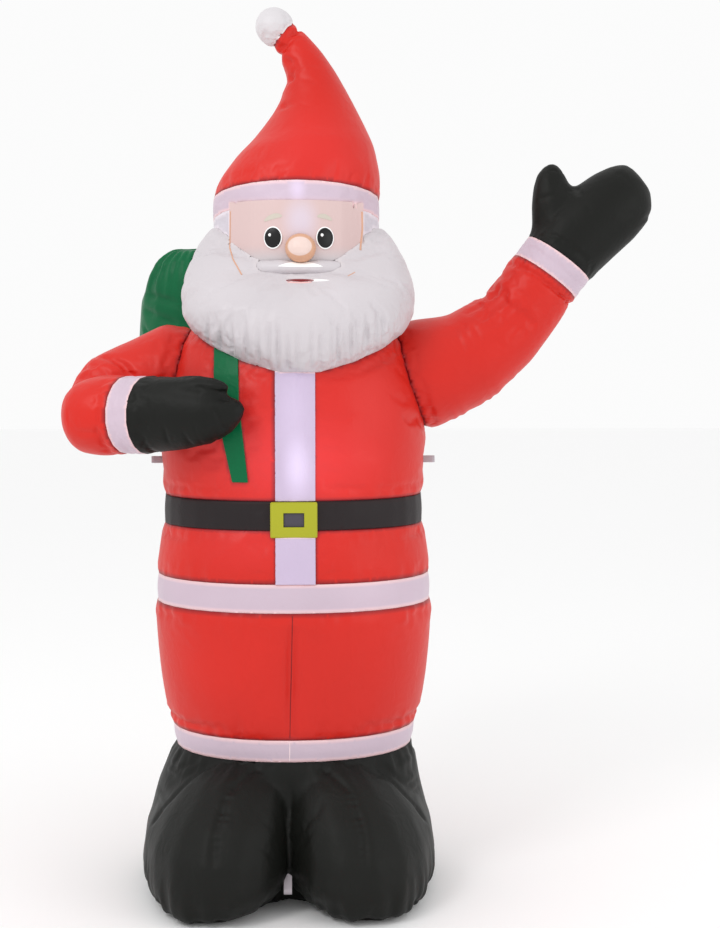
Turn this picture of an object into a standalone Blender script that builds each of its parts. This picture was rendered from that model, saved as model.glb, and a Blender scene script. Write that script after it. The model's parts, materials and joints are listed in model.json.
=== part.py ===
"""Inflatable santa, 2.4 m tall: a sewn fabric figure held out by air.

Metres, +Z up. The figure stands on Z = 0, faces -Y and has its own middle at X = 0. The free forms are
drawn for a figure of 2.4 m and follow HEIGHT. Bands, buckle, loops and blower keep their own sizes.
"""

import math

import bmesh
import bpy
from mathutils import Vector

# Overall
HEIGHT = 2.400
GAP = 0.0003
POMPOM_RADIUS = 0.054

# Scale of the outlines, levels and places below, which are drawn with the pompom's middle 2.346 m up
FIGURE = (HEIGHT - POMPOM_RADIUS) / 2.346

# Sewn bands round the body
TROUSER_CUFF_WIDTH = 0.060
HEM_WIDTH = 0.075
BELT_WIDTH = 0.076
BELT_PROUD = 0.002
HAT_BAND_WIDTH = 0.058
SLEEVE_CUFF_WIDTH = 0.063

# Front strip, belt buckle
PLACKET_WIDTH = 0.104
PLACKET_PROUD = 0.003
PLACKET_X = 0.004
PLACKET_TOP = 1.470
BUCKLE_WIDTH = 0.122
BUCKLE_HEIGHT = 0.093
BUCKLE_PROUD = 0.008
BUCKLE_HOLE_WIDTH = 0.054
BUCKLE_HOLE_HEIGHT = 0.037
BUCKLE_CENTRE_PROUD = 0.004
BUCKLE_SINK = 0.012
BUCKLE_BEVEL = 0.003
BUCKLE_DROP = 0.010

# Face
FACE_WIDTH = 0.356
FACE_PROUD = 0.004
FACE_SINK = 0.012
FACE_CORNER = 0.060
EYE_WIDTH = 0.045
EYE_HEIGHT = 0.052
EYE_PROUD = 0.005
EYE_SPACING = 0.131
NOSE_WIDTH = 0.084
NOSE_HEIGHT = 0.078
NOSE_REACH = 0.040
MOUTH_WIDTH = 0.072
MOUTH_HEIGHT = 0.010
MOUTH_REACH = 0.050
MOUTH_EDGE = 0.003

# Sack strap
STRAP_WIDTH = 0.066
STRAP_END_WIDTH = 0.042
STRAP_THICKNESS = 0.004
STRAP_SINK = 0.016

# Webbing loops
LOOP_REACH = 0.034
LOOP_WEBBING = 0.018
LOOP_OPEN = 0.014
LOOP_WALL = 0.0025
STAKE_LOOP_WEBBING = 0.021
STAKE_LOOP_REACH = 0.050
STAKE_LOOP_SINK = 0.030
LOOP_SINK = 0.010

# Blower
BLOWER_RADIUS = 0.082
BLOWER_RIM = 0.012
BLOWER_PROUD = 0.016
BLOWER_DEPTH = 0.030
BLOWER_EDGE = 0.004
GRILLE_RECESS = 0.005
GRILLE_GROOVES = 2
GROOVE_DEPTH = 0.004

# Middle of the boots, a little to the figure's right
BOOTS_X = -0.014 * FIGURE
BOOTS_EXTRA = 0.010 * FIGURE

# Levels of the figure
CUFF_BOTTOM = 0.380 * FIGURE
HEM_BOTTOM = 0.782 * FIGURE
BELT_BOTTOM = 0.996 * FIGURE
NECK = 1.600 * FIGURE
BAND_BOTTOM = 1.816 * FIGURE
LOOP_LEVEL = 1.164 * FIGURE
BLOWER_LEVEL = 0.560 * FIGURE
FACE_BOTTOM = 1.640 * FIGURE
FACE_TOP = 1.856 * FIGURE
EYE_LEVEL = 1.7575 * FIGURE
NOSE_LEVEL = 1.730 * FIGURE
MOUTH_LEVEL = 1.645 * FIGURE
STRAP_BOTTOM = 1.120 * FIGURE
STRAP_FULL = 1.340 * FIGURE

# Outlines as drawn: height, half width
BODY_OUTLINE = (
    (0.140, 0.318),
    (0.380, 0.327),
    (0.530, 0.358),
    (0.650, 0.371),
    (0.820, 0.378),
    (0.920, 0.367),
    (1.034, 0.352),
    (1.250, 0.364),
    (1.340, 0.357),
    (1.410, 0.342),
    (1.480, 0.314),
    (1.540, 0.264),
    (1.600, 0.190),
)
BODY_FRONT = 0.825
BODY_BACK = 0.775
BODY_SQUARENESS = 2.15
HEAD_OUTLINE = ((1.600, 0.190), (1.650, 0.212), (1.720, 0.226), (1.874, 0.2275))
HEAD_X = 0.0095 * FIGURE
HEAD_FRONT = 0.93
HEAD_BACK = 0.91
HEAD_TILT = 0.16
EYE_MIDDLE = 0.0145 * FIGURE
NOSE_X = 0.0195 * FIGURE
TROUSER_CREASE = 0.045
BOOT_CREASE = 0.060

# Sides of the lofts
BODY_SIDES = 32
HEAD_SIDES = 24
BEARD_SIDES = 22
ARM_SIDES = 18
THUMB_SIDES = 10
TURNED_SIDES = 16


def tone(red, green, blue):
    """Linear colour of a screen colour given in 0 to 255."""
    shares = (red / 255, green / 255, blue / 255)
    return tuple(s / 12.92 if s <= 0.04045 else ((s + 0.055) / 1.055) ** 2.4 for s in shares) + (1.0,)


FINISHES = {
    "red_polyester": (tone(218, 50, 42), 0.48),
    "white_polyester": (tone(222, 212, 224), 0.50),
    "black_polyester": (tone(34, 33, 35), 0.45),
    "skin_polyester": (tone(234, 206, 198), 0.50),
    "nose_polyester": (tone(226, 178, 146), 0.50),
    "green_satin": (tone(0, 128, 78), 0.38),
    "yellow_vinyl": (tone(196, 196, 52), 0.40),
    "grey_vinyl": (tone(80, 76, 84), 0.45),
    "eye_black": (tone(22, 22, 24), 0.30),
    "mouth_red": (tone(150, 62, 62), 0.50),
    "webbing": (tone(196, 196, 200), 0.60),
    "blower_plastic": (tone(38, 38, 40), 0.42),
}

parts = bpy.data.collections.new("inflatable_santa")
cutters = bpy.data.collections.new("cutters")
materials = {}


def clear_scene():
    """Removes the objects the scene starts with and links the two collections."""
    for obj in list(bpy.data.objects):
        bpy.data.objects.remove(obj, do_unlink=True)
    for collection in (parts, cutters):
        bpy.context.scene.collection.children.link(collection)


def make_materials():
    """One Principled material for each fabric or plastic."""
    for name, (colour, roughness) in FINISHES.items():
        material = bpy.data.materials.new(name)
        material.use_nodes = True
        shader = material.node_tree.nodes["Principled BSDF"]
        shader.inputs["Base Color"].default_value = colour
        shader.inputs["Roughness"].default_value = roughness
        shader.inputs["Metallic"].default_value = 0.0
        materials[name] = material


def add_part(name, mesh, finish, smooth_angle=35):
    """A mesh as a named piece with its material, shaded smooth up to the angle given."""
    mesh.materials.clear()
    mesh.materials.append(materials[finish])
    mesh.shade_smooth()
    mesh.set_sharp_from_angle(angle=math.radians(smooth_angle))
    obj = bpy.data.objects.new(name, mesh)
    parts.objects.link(obj)
    return obj


def add_cutter(name, mesh):
    """A mesh as a hidden cutter."""
    obj = bpy.data.objects.new(name, mesh)
    obj.display_type = "WIRE"
    obj.hide_render = True
    cutters.objects.link(obj)
    return obj


def evaluated_mesh(obj):
    """The finished mesh of an object, with its modifiers in it."""
    bpy.context.view_layer.update()
    graph = bpy.context.evaluated_depsgraph_get()
    return bpy.data.meshes.new_from_object(obj.evaluated_get(graph))


def point(x, y, z):
    """A place in the pattern, at the figure's own size."""
    return Vector((x, y, z)) * FIGURE


def row_at(table, place):
    """The values of a table between two of its stations, on a smooth curve through them."""
    last = len(table) - 1
    low = min(last - 1, sum(1 for row in table[1:-1] if row[0] <= place))
    start, end = table[low], table[low + 1]
    before, after = table[max(low - 1, 0)], table[min(low + 2, last)]
    span = end[0] - start[0]
    t = min(max((place - start[0]) / span, 0.0), 1.0)
    values = []
    for column in range(1, len(start)):
        leave = (end[column] - before[column]) / (end[0] - before[0]) * span
        arrive = (after[column] - start[column]) / (after[0] - start[0]) * span
        rise = end[column] - start[column]
        values.append(
            start[column]
            + leave * t
            + (3 * rise - 2 * leave - arrive) * t * t
            + (leave + arrive - 2 * rise) * t * t * t
        )
    return values


def between(low, high, count):
    """Evenly spaced values from low to high, both included."""
    return [low + (high - low) * step / (count - 1) for step in range(count)]


def ring(low, high, front, back, sides, depth=Vector((0, 1, 0)), squareness=2.0):
    """A closed cross-section from one outline point to the other, reaching forward and back along depth."""
    centre, half = (low + high) / 2, (high - low) / 2
    places = []
    for step in range(sides):
        angle = math.tau * step / sides
        across = math.copysign(abs(math.cos(angle)) ** (2 / squareness), math.cos(angle))
        away = math.copysign(abs(math.sin(angle)) ** (2 / squareness), math.sin(angle))
        places.append(centre + half * across + depth * away * (back if away > 0 else front))
    return places


def moved(places, shift):
    """A ring shifted by a vector."""
    return [place + shift for place in places]


def finished_mesh(name, work):
    """A closed bmesh as a triangulated mesh whose faces point outwards."""
    bmesh.ops.recalc_face_normals(work, faces=work.faces)
    bmesh.ops.triangulate(work, faces=work.faces)
    mesh = bpy.data.meshes.new(name)
    work.to_mesh(mesh)
    work.free()
    return mesh


def loft_mesh(name, rings):
    """A closed mesh through rings of equal count, flat at both ends."""
    work = bmesh.new()
    rows = [[work.verts.new(place) for place in places] for places in rings]
    sides = len(rows[0])
    for lower, upper in zip(rows, rows[1:]):
        for step in range(sides):
            after = (step + 1) % sides
            work.faces.new((lower[step], lower[after], upper[after], upper[step]))
    work.faces.new(rows[0][::-1])
    work.faces.new(rows[-1])
    return finished_mesh(name, work)


def loft(name, rings, finish):
    """A lofted piece."""
    return add_part(name, loft_mesh(name, rings), finish)


def combined(name, meshes, operation="UNION"):
    """One mesh from a closed mesh and others that are added to it, or taken from it with DIFFERENCE."""
    bodies = [add_cutter(f"{name}_body_{index}", mesh) for index, mesh in enumerate(meshes)]
    for other in bodies[1:]:
        modifier = bodies[0].modifiers.new(f"with_{other.name}", "BOOLEAN")
        modifier.operation = operation
        modifier.solver = "EXACT"
        modifier.object = other
    mesh = evaluated_mesh(bodies[0])
    mesh.name = name
    for body in bodies:
        bpy.data.objects.remove(body, do_unlink=True)
    return mesh


def grown(mesh):
    """A copy of a mesh that is larger by the clearance all round."""
    mesh = mesh.copy()
    work = bmesh.new()
    work.from_mesh(mesh)
    for vertex in work.verts:
        vertex.co += vertex.normal * GAP * min(vertex.calc_shell_factor(), 2.0)
    work.to_mesh(mesh)
    work.free()
    return mesh


def keep_clear(obj, *neighbours):
    """Cuts a piece back from its neighbours, leaving the clearance between them."""
    for neighbour in neighbours:
        name = f"clear_of_{neighbour.name}"
        cutter = cutters.objects.get(name)
        if cutter is None:
            cutter = add_cutter(name, grown(neighbour.data))
        modifier = obj.modifiers.new(name, "BOOLEAN")
        modifier.operation = "DIFFERENCE"
        modifier.solver = "EXACT"
        modifier.object = cutter


def box_mesh(name, low, high, bevel=0.0):
    """A box between two corners, with its edges rounded where bevel is given."""
    work = bmesh.new()
    bmesh.ops.create_cube(work, size=1.0)
    size, centre = high - low, (high + low) / 2
    for vertex in work.verts:
        vertex.co = Vector(c * s for c, s in zip(vertex.co, size)) + centre
    if bevel:
        bmesh.ops.bevel(work, geom=work.edges[:], offset=bevel, segments=1, affect="EDGES")
    return finished_mesh(name, work)


def ball_mesh(name, centre, radii, around=12, up=6):
    """A ball or ellipsoid."""
    work = bmesh.new()
    bmesh.ops.create_uvsphere(work, u_segments=around, v_segments=up, radius=1.0)
    for vertex in work.verts:
        vertex.co = Vector(c * r for c, r in zip(vertex.co, radii)) + centre
    return finished_mesh(name, work)


def body_size(level):
    """Half width, front reach and back reach of the body at a level."""
    half = row_at(BODY_OUTLINE, level / FIGURE)[0] * FIGURE
    return half, half * BODY_FRONT, half * BODY_BACK


def body_ring(level, proud=0.0, crease=0.0):
    """The body's cross-section at a level, with a dent down the middle of the front where crease is given."""
    half, front, back = body_size(level)
    places = ring(
        Vector((-half - proud, 0, level)),
        Vector((half + proud, 0, level)),
        front + proud,
        back + proud,
        BODY_SIDES,
        squareness=BODY_SQUARENESS,
    )
    for place in places:
        if place.y < 0:
            place.y += crease * math.exp(-((place.x / (TROUSER_CREASE * FIGURE)) ** 2))
    return places


def body_front(x, level):
    """The y of the body's front surface at x."""
    half, front, _ = body_size(level)
    share = min(abs(x) / half, 0.98)
    return -front * (1 - share**BODY_SQUARENESS) ** (1 / BODY_SQUARENESS)


def head_size(level):
    """Half width, front reach and back reach of the head at a level."""
    half = row_at(HEAD_OUTLINE, level / FIGURE)[0] * FIGURE
    return half, half * HEAD_FRONT, half * HEAD_BACK


def head_ring(level, proud=0.0):
    """The head's cross-section, which leans back more towards the hat."""
    half, front, back = head_size(level)
    tilt = HEAD_TILT * min(max((level - NECK) / (BAND_BOTTOM - NECK), 0.0), 1.0)
    return ring(
        Vector((HEAD_X - half - proud, 0, level)),
        Vector((HEAD_X + half + proud, 0, level)),
        front + proud,
        back + proud,
        HEAD_SIDES,
        depth=Vector((0, 1, -tilt)),
    )


def head_front(x, level):
    """The y of the head's front surface at x."""
    half, front, _ = head_size(level)
    share = min(abs(x - HEAD_X) / half, 0.98)
    return -front * math.sqrt(1 - share * share)


def panel_mesh(name, surface, left, right, levels, proud, sink, columns=5):
    """A thin panel that follows a front surface: left and right give its edges at each level."""
    rings = []
    for level in levels:
        across = between(left(level), right(level), columns)
        outer = [Vector((x, surface(x, level) - proud, level)) for x in across]
        inner = [Vector((x, surface(x, level) + sink, level)) for x in reversed(across)]
        rings.append(outer + inner)
    return loft_mesh(name, rings)


def leg_ring(level, half, crease):
    """A cross-section of the two boot shafts, side by side, with a crease between them front and back."""
    places = ring(
        Vector((BOOTS_X - half, 0, level)),
        Vector((BOOTS_X + half, 0, level)),
        half * BODY_FRONT,
        half * BODY_BACK,
        BODY_SIDES,
        squareness=BODY_SQUARENESS,
    )
    for place in places:
        dent = crease * math.exp(-(((place.x - BOOTS_X) / (BOOT_CREASE * FIGURE)) ** 2))
        place.y -= math.copysign(dent, place.y)
    return places


def make_boots():
    """Two black boots side by side, sewn as one base with a flat underside."""
    # level, half width, depth of the creases
    shaft_outline = (
        (0.000, 0.356, 0.060),
        (0.022, 0.384, 0.060),
        (0.085, 0.399, 0.055),
        (0.150, 0.390, 0.045),
        (0.265, 0.361, 0.025),
    )
    # level, middle x, half width, front of a toe
    toe_outline = (
        (0.000, 0.204, 0.156, 0.405),
        (0.022, 0.202, 0.184, 0.452),
        (0.085, 0.179, 0.221, 0.476),
        (0.165, 0.174, 0.217, 0.455),
        (0.240, 0.156, 0.200, 0.405),
        (0.310, 0.134, 0.164, 0.335),
        (0.352, 0.128, 0.120, 0.286),
        (0.374, 0.118, 0.092, 0.262),
    )
    toe_back = 0.100 * FIGURE
    shaft = [
        leg_ring(level * FIGURE, half * FIGURE, crease * FIGURE)
        for level, half, crease in shaft_outline
    ]
    shaft.insert(0, moved(shaft[0], Vector((0, 0, -BOOTS_EXTRA))))
    bodies = [loft_mesh("shafts", shaft + [body_ring(CUFF_BOTTOM)])]
    for side in (-1, 1):
        rings = [
            ring(
                point(side * middle - half, 0, level) + Vector((BOOTS_X, 0, 0)),
                point(side * middle + half, 0, level) + Vector((BOOTS_X, 0, 0)),
                front * FIGURE,
                toe_back,
                ARM_SIDES,
                squareness=2.3,
            )
            for level, middle, half, front in toe_outline
        ]
        rings.insert(0, moved(rings[0], Vector((0, 0, -2 * BOOTS_EXTRA))))
        bodies.append(loft_mesh("toe", rings))
    # The shafts and toes run on below the ground, each by its own length, and are cut off flat there.
    under = box_mesh("under", Vector((-HEIGHT, -HEIGHT, -3 * BOOTS_EXTRA)), Vector((HEIGHT, HEIGHT, 0)))
    mesh = combined("boots", [combined("boots", bodies), under], "DIFFERENCE")
    return add_part("boots", mesh, "black_polyester")


def body_section(name, low, high, count, finish, proud=0.0, crease=0.0):
    """A piece of the body between two levels, clear of the piece above it by the gap."""
    levels = between(low, high - GAP, count)
    dents = [crease * math.sin(math.pi * step / (count - 1)) ** 0.5 for step in range(count)]
    return loft(name, [body_ring(level, proud, dent) for level, dent in zip(levels, dents)], finish)


def make_body():
    """The fabric sections of legs and coat, one on the other, with the gap between them."""
    made = {}
    cuff_top = CUFF_BOTTOM + TROUSER_CUFF_WIDTH
    hem_top = HEM_BOTTOM + HEM_WIDTH
    belt_top = BELT_BOTTOM + BELT_WIDTH
    sections = (
        ("trouser_cuffs", CUFF_BOTTOM + GAP, cuff_top, 2, "white_polyester", 0.0, 0.006),
        ("trousers", cuff_top, HEM_BOTTOM, 6, "red_polyester", 0.0, 0.020),
        ("coat_hem", HEM_BOTTOM, hem_top, 2, "white_polyester", 0.0, 0.0),
        ("coat_skirt", hem_top, BELT_BOTTOM, 3, "red_polyester", 0.0, 0.0),
        ("belt", BELT_BOTTOM, belt_top, 2, "black_polyester", BELT_PROUD, 0.0),
        ("coat", belt_top, NECK, 10, "red_polyester", 0.0, 0.0),
    )
    for name, low, high, count, finish, proud, crease in sections:
        made[name] = body_section(name, low, high, count, finish, proud, crease)
    return made


def make_placket(body):
    """The white strip down the coat's front, above and below the belt."""
    half = PLACKET_WIDTH / 2
    middle = PLACKET_X * FIGURE
    made = {}
    spans = (
        ("placket_upper", BELT_BOTTOM + BELT_WIDTH + GAP, PLACKET_TOP * FIGURE, 8, "coat"),
        ("placket_lower", HEM_BOTTOM + HEM_WIDTH, BELT_BOTTOM - GAP, 4, "coat_skirt"),
    )
    for name, low, high, count, under in spans:
        mesh = panel_mesh(
            name,
            body_front,
            lambda level: middle - half,
            lambda level: middle + half,
            between(low, high, count),
            PLACKET_PROUD,
            2 * PLACKET_PROUD,
        )
        made[name] = add_part(name, mesh, "white_polyester")
        keep_clear(made[name], body[under])
    return made


def make_buckle(body, placket):
    """The square buckle over the belt, a frame with a dark patch in its opening."""
    level = BELT_BOTTOM + BELT_WIDTH / 2 - BUCKLE_DROP
    front = body_front(0, level) - BELT_PROUD

    def slab(name, width, height, proud, bevel=0.0):
        """A slab over the middle of the belt, sunk into it."""
        low = Vector((-width / 2, front - proud, level - height / 2))
        high = Vector((width / 2, front + BUCKLE_SINK, level + height / 2))
        return box_mesh(name, low, high, bevel)

    frame = slab("buckle", BUCKLE_WIDTH, BUCKLE_HEIGHT, BUCKLE_PROUD, BUCKLE_BEVEL)
    buckle = add_part("buckle", frame, "yellow_vinyl")
    hole = add_cutter("buckle_hole", slab("hole", BUCKLE_HOLE_WIDTH, BUCKLE_HOLE_HEIGHT, 2 * BUCKLE_PROUD))
    modifier = buckle.modifiers.new("hole", "BOOLEAN")
    modifier.operation = "DIFFERENCE"
    modifier.solver = "EXACT"
    modifier.object = hole
    width, height = BUCKLE_HOLE_WIDTH - 2 * GAP, BUCKLE_HOLE_HEIGHT - 2 * GAP
    patch = add_part("buckle_centre", slab("buckle_centre", width, height, BUCKLE_CENTRE_PROUD), "grey_vinyl")
    keep_clear(buckle, body["belt"], body["coat"], body["coat_skirt"], *placket.values())
    keep_clear(patch, body["belt"])


def make_head():
    """The white head with its skin-coloured face panel, eyes and nose."""
    levels = between(NECK, BAND_BOTTOM - GAP, 6)
    head = loft("head", [head_ring(level) for level in levels], "white_polyester")

    half = FACE_WIDTH / 2
    narrower = 0.28

    def inset(level):
        """Half width of the face panel at a level, less at its rounded bottom corners."""
        rise = min((level - FACE_BOTTOM) / (FACE_CORNER * FIGURE), 1.0)
        return half * (1 - narrower * (1 - rise) ** 2)

    corner = FACE_CORNER * FIGURE
    face_levels = [FACE_BOTTOM, FACE_BOTTOM + corner / 5] + between(FACE_BOTTOM + corner * 2 / 3, FACE_TOP, 4)
    mesh = panel_mesh(
        "face",
        head_front,
        lambda level: HEAD_X - inset(level),
        lambda level: HEAD_X + inset(level),
        face_levels,
        FACE_PROUD,
        FACE_SINK,
        columns=7,
    )
    face = add_part("face", mesh, "skin_polyester")
    made = {"head": head, "face": face}
    for name, side in (("eye_left", 1), ("eye_right", -1)):
        x = EYE_MIDDLE + side * EYE_SPACING / 2
        centre = Vector((x, head_front(x, EYE_LEVEL) - FACE_PROUD, EYE_LEVEL))
        radii = (EYE_WIDTH / 2, EYE_PROUD, EYE_HEIGHT / 2)
        made[name] = add_part(name, ball_mesh(name, centre, radii), "eye_black")
        keep_clear(made[name], face, head)
    centre = Vector((NOSE_X, head_front(NOSE_X, NOSE_LEVEL) - FACE_PROUD, NOSE_LEVEL))
    radii = (NOSE_WIDTH / 2, NOSE_REACH, NOSE_HEIGHT / 2)
    made["nose"] = add_part("nose", ball_mesh("nose", centre, radii, 14, 8), "nose_polyester")
    keep_clear(made["nose"], face, head)
    keep_clear(face, head)
    return made


def make_hat():
    """The band round the brow, the pointed hat that bends over to one side, and its pompom."""
    bottom, top = BAND_BOTTOM, BAND_BOTTOM + HAT_BAND_WIDTH
    band = loft("hat_band", [head_ring(level) for level in between(bottom, top - GAP, 3)], "white_polyester")
    # x and height of the left edge, x and height of the right edge, lean
    stations = (
        (-0.191, 1.929, 0.235, 1.944, 0.12),
        (-0.151, 1.984, 0.220, 2.015, 0.09),
        (-0.111, 2.025, 0.198, 2.064, 0.06),
        (-0.082, 2.063, 0.171, 2.118, 0.03),
        (-0.057, 2.100, 0.143, 2.172, 0.0),
        (-0.038, 2.138, 0.116, 2.220, 0.0),
        (-0.027, 2.195, 0.081, 2.272, 0.0),
        (-0.040, 2.266, 0.029, 2.330, 0.0),
        (-0.050, 2.294, -0.006, 2.360, 0.0),
    )
    hat_depth = 0.95
    rings = [head_ring(top)]
    for left_x, left_z, right_x, right_z, lean in stations:
        low, high = point(left_x, 0, left_z), point(right_x, 0, right_z)
        reach = (high - low).length / 2 * hat_depth
        rings.append(ring(low, high, reach, reach, HEAD_SIDES, depth=Vector((0, 1, -lean))))
    hat = loft("hat", rings, "red_polyester")
    centre = (low + high) / 2 + point(-0.022, 0, 0.019)
    pompom = add_part("pompom", ball_mesh("pompom", centre, (POMPOM_RADIUS,) * 3, 12, 8), "white_polyester")
    keep_clear(pompom, hat)
    return {"hat_band": band, "hat": hat, "pompom": pompom}


def make_mouth(head):
    """The moustache, a padded roll under the nose that droops at both ends, and the mouth below it."""
    front = head_front(NOSE_X, MOUTH_LEVEL) - FACE_PROUD
    low = Vector((NOSE_X - MOUTH_WIDTH / 2, front - MOUTH_REACH * FIGURE, MOUTH_LEVEL - MOUTH_HEIGHT / 2))
    high = Vector((NOSE_X + MOUTH_WIDTH / 2, front + FACE_SINK, MOUTH_LEVEL + MOUTH_HEIGHT / 2))
    mouth = add_part("mouth", box_mesh("mouth", low, high, MOUTH_EDGE), "mouth_red")
    keep_clear(mouth, head["head"], head["face"])

    # distance from the middle, level, half height, reach forward
    stations = (
        (-0.172, 1.664, 0.006, 0.004),
        (-0.150, 1.669, 0.018, 0.014),
        (-0.105, 1.677, 0.024, 0.024),
        (-0.050, 1.680, 0.022, 0.030),
        (0.000, 1.677, 0.017, 0.026),
        (0.050, 1.680, 0.022, 0.030),
        (0.105, 1.677, 0.024, 0.024),
        (0.150, 1.669, 0.018, 0.014),
        (0.172, 1.664, 0.006, 0.004),
    )
    rings = []
    for aside, level, half, reach in stations:
        x, z = NOSE_X + aside * FIGURE, level * FIGURE
        surface = head_front(x, z) - FACE_PROUD
        rings.append(
            ring(
                Vector((x, surface + FACE_PROUD, z - half * FIGURE)),
                Vector((x, surface + FACE_PROUD, z + half * FIGURE)),
                reach * FIGURE + FACE_PROUD,
                FACE_SINK,
                THUMB_SIDES,
            )
        )
    moustache = loft("moustache", rings, "white_polyester")
    keep_clear(moustache, head["face"], head["head"], head["nose"], mouth)
    return {"mouth": mouth, "moustache": moustache}


def make_beard(body, placket, head, mouth, strap):
    """The full beard, a pad round the lower face that rests on the chest."""
    middle = 0.0135 * FIGURE
    # level, half width, front, back
    stations = (
        (1.406, 0.060, 0.300, -0.220),
        (1.434, 0.150, 0.328, -0.140),
        (1.470, 0.222, 0.338, -0.060),
        (1.510, 0.280, 0.338, 0.000),
        (1.560, 0.310, 0.322, 0.045),
        (1.620, 0.320, 0.276, 0.065),
        (1.660, 0.314, 0.226, 0.070),
        (1.705, 0.297, 0.194, 0.070),
        (1.740, 0.280, 0.172, 0.065),
        (1.775, 0.256, 0.150, 0.055),
        (1.795, 0.238, 0.120, 0.045),
    )
    rings = []
    for level, half, front, back in stations:
        depth_middle = (back - front) / 2
        reach = (front + back) / 2
        rings.append(
            ring(
                Vector((middle - half * FIGURE, depth_middle * FIGURE, level * FIGURE)),
                Vector((middle + half * FIGURE, depth_middle * FIGURE, level * FIGURE)),
                reach * FIGURE,
                reach * FIGURE,
                BEARD_SIDES,
                squareness=2.1,
            )
        )
    beard = loft("beard", rings, "white_polyester")
    keep_clear(
        beard,
        body["coat"],
        placket["placket_upper"],
        head["head"],
        head["face"],
        mouth["mouth"],
        mouth["moustache"],
        strap,
    )
    return beard


def make_raised_arm(body, beard):
    """The arm that waves: sleeve, white cuff and mitten."""
    # lower edge x and height, upper edge x and height, depth, middle y
    stations = (
        (0.320, 1.262, 0.235, 1.520, 0.135, 0.000),
        (0.385, 1.253, 0.334, 1.549, 0.145, 0.000),
        (0.452, 1.282, 0.418, 1.558, 0.140, -0.004),
        (0.553, 1.342, 0.493, 1.602, 0.130, -0.010),
        (0.652, 1.438, 0.541, 1.644, 0.117, -0.018),
        (0.716, 1.524, 0.576, 1.684, 0.107, -0.026),
    )
    rings = []
    for low_x, low_z, high_x, high_z, reach, y in stations:
        rings.append(
            ring(point(low_x, y, low_z), point(high_x, y, high_z), reach * FIGURE, reach * FIGURE, ARM_SIDES)
        )
    seam_low, seam_high = point(0.775, -0.034, 1.606), point(0.609, -0.034, 1.727)
    along = Vector((0.60, -0.06, 0.80)).normalized()
    reach = 0.100 * FIGURE
    seam = ring(seam_low, seam_high, reach, reach, ARM_SIDES)
    sleeve = loft("sleeve_raised", rings + [seam], "red_polyester")
    keep_clear(sleeve, body["coat"], beard)
    edge = moved(seam, along * SLEEVE_CUFF_WIDTH)
    cuff = [moved(seam, along * GAP), moved(seam, along * SLEEVE_CUFF_WIDTH / 2), edge]
    loft("cuff_raised", cuff, "white_polyester")

    wrist = moved(edge, along * GAP)
    # outer edge x and height, inner edge x and height, depth
    fingers = (
        (0.872, 1.712, 0.690, 1.838, 0.092),
        (0.930, 1.765, 0.735, 1.880, 0.092),
        (0.965, 1.805, 0.775, 1.915, 0.088),
        (0.981, 1.850, 0.815, 1.940, 0.078),
        (0.976, 1.895, 0.860, 1.962, 0.058),
        (0.950, 1.930, 0.893, 1.970, 0.034),
        (0.934, 1.949, 0.914, 1.966, 0.012),
    )
    thumb = (
        (0.775, 1.790, 0.652, 1.795, 0.052),
        (0.768, 1.860, 0.650, 1.860, 0.052),
        (0.762, 1.908, 0.655, 1.904, 0.046),
        (0.746, 1.942, 0.665, 1.940, 0.036),
        (0.729, 1.962, 0.685, 1.963, 0.021),
        (0.714, 1.971, 0.701, 1.971, 0.007),
    )
    y = -0.045
    palm = [wrist] + [
        ring(point(ox, y, oz), point(ix, y, iz), reach * FIGURE, reach * FIGURE, ARM_SIDES)
        for ox, oz, ix, iz, reach in fingers
    ]
    digit = [
        ring(point(ox, y, oz), point(ix, y, iz), reach * FIGURE, reach * FIGURE, THUMB_SIDES)
        for ox, oz, ix, iz, reach in thumb
    ]
    mesh = combined("mitten_raised", [loft_mesh("palm", palm), loft_mesh("thumb", digit)])
    add_part("mitten_raised", mesh, "black_polyester")


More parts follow.
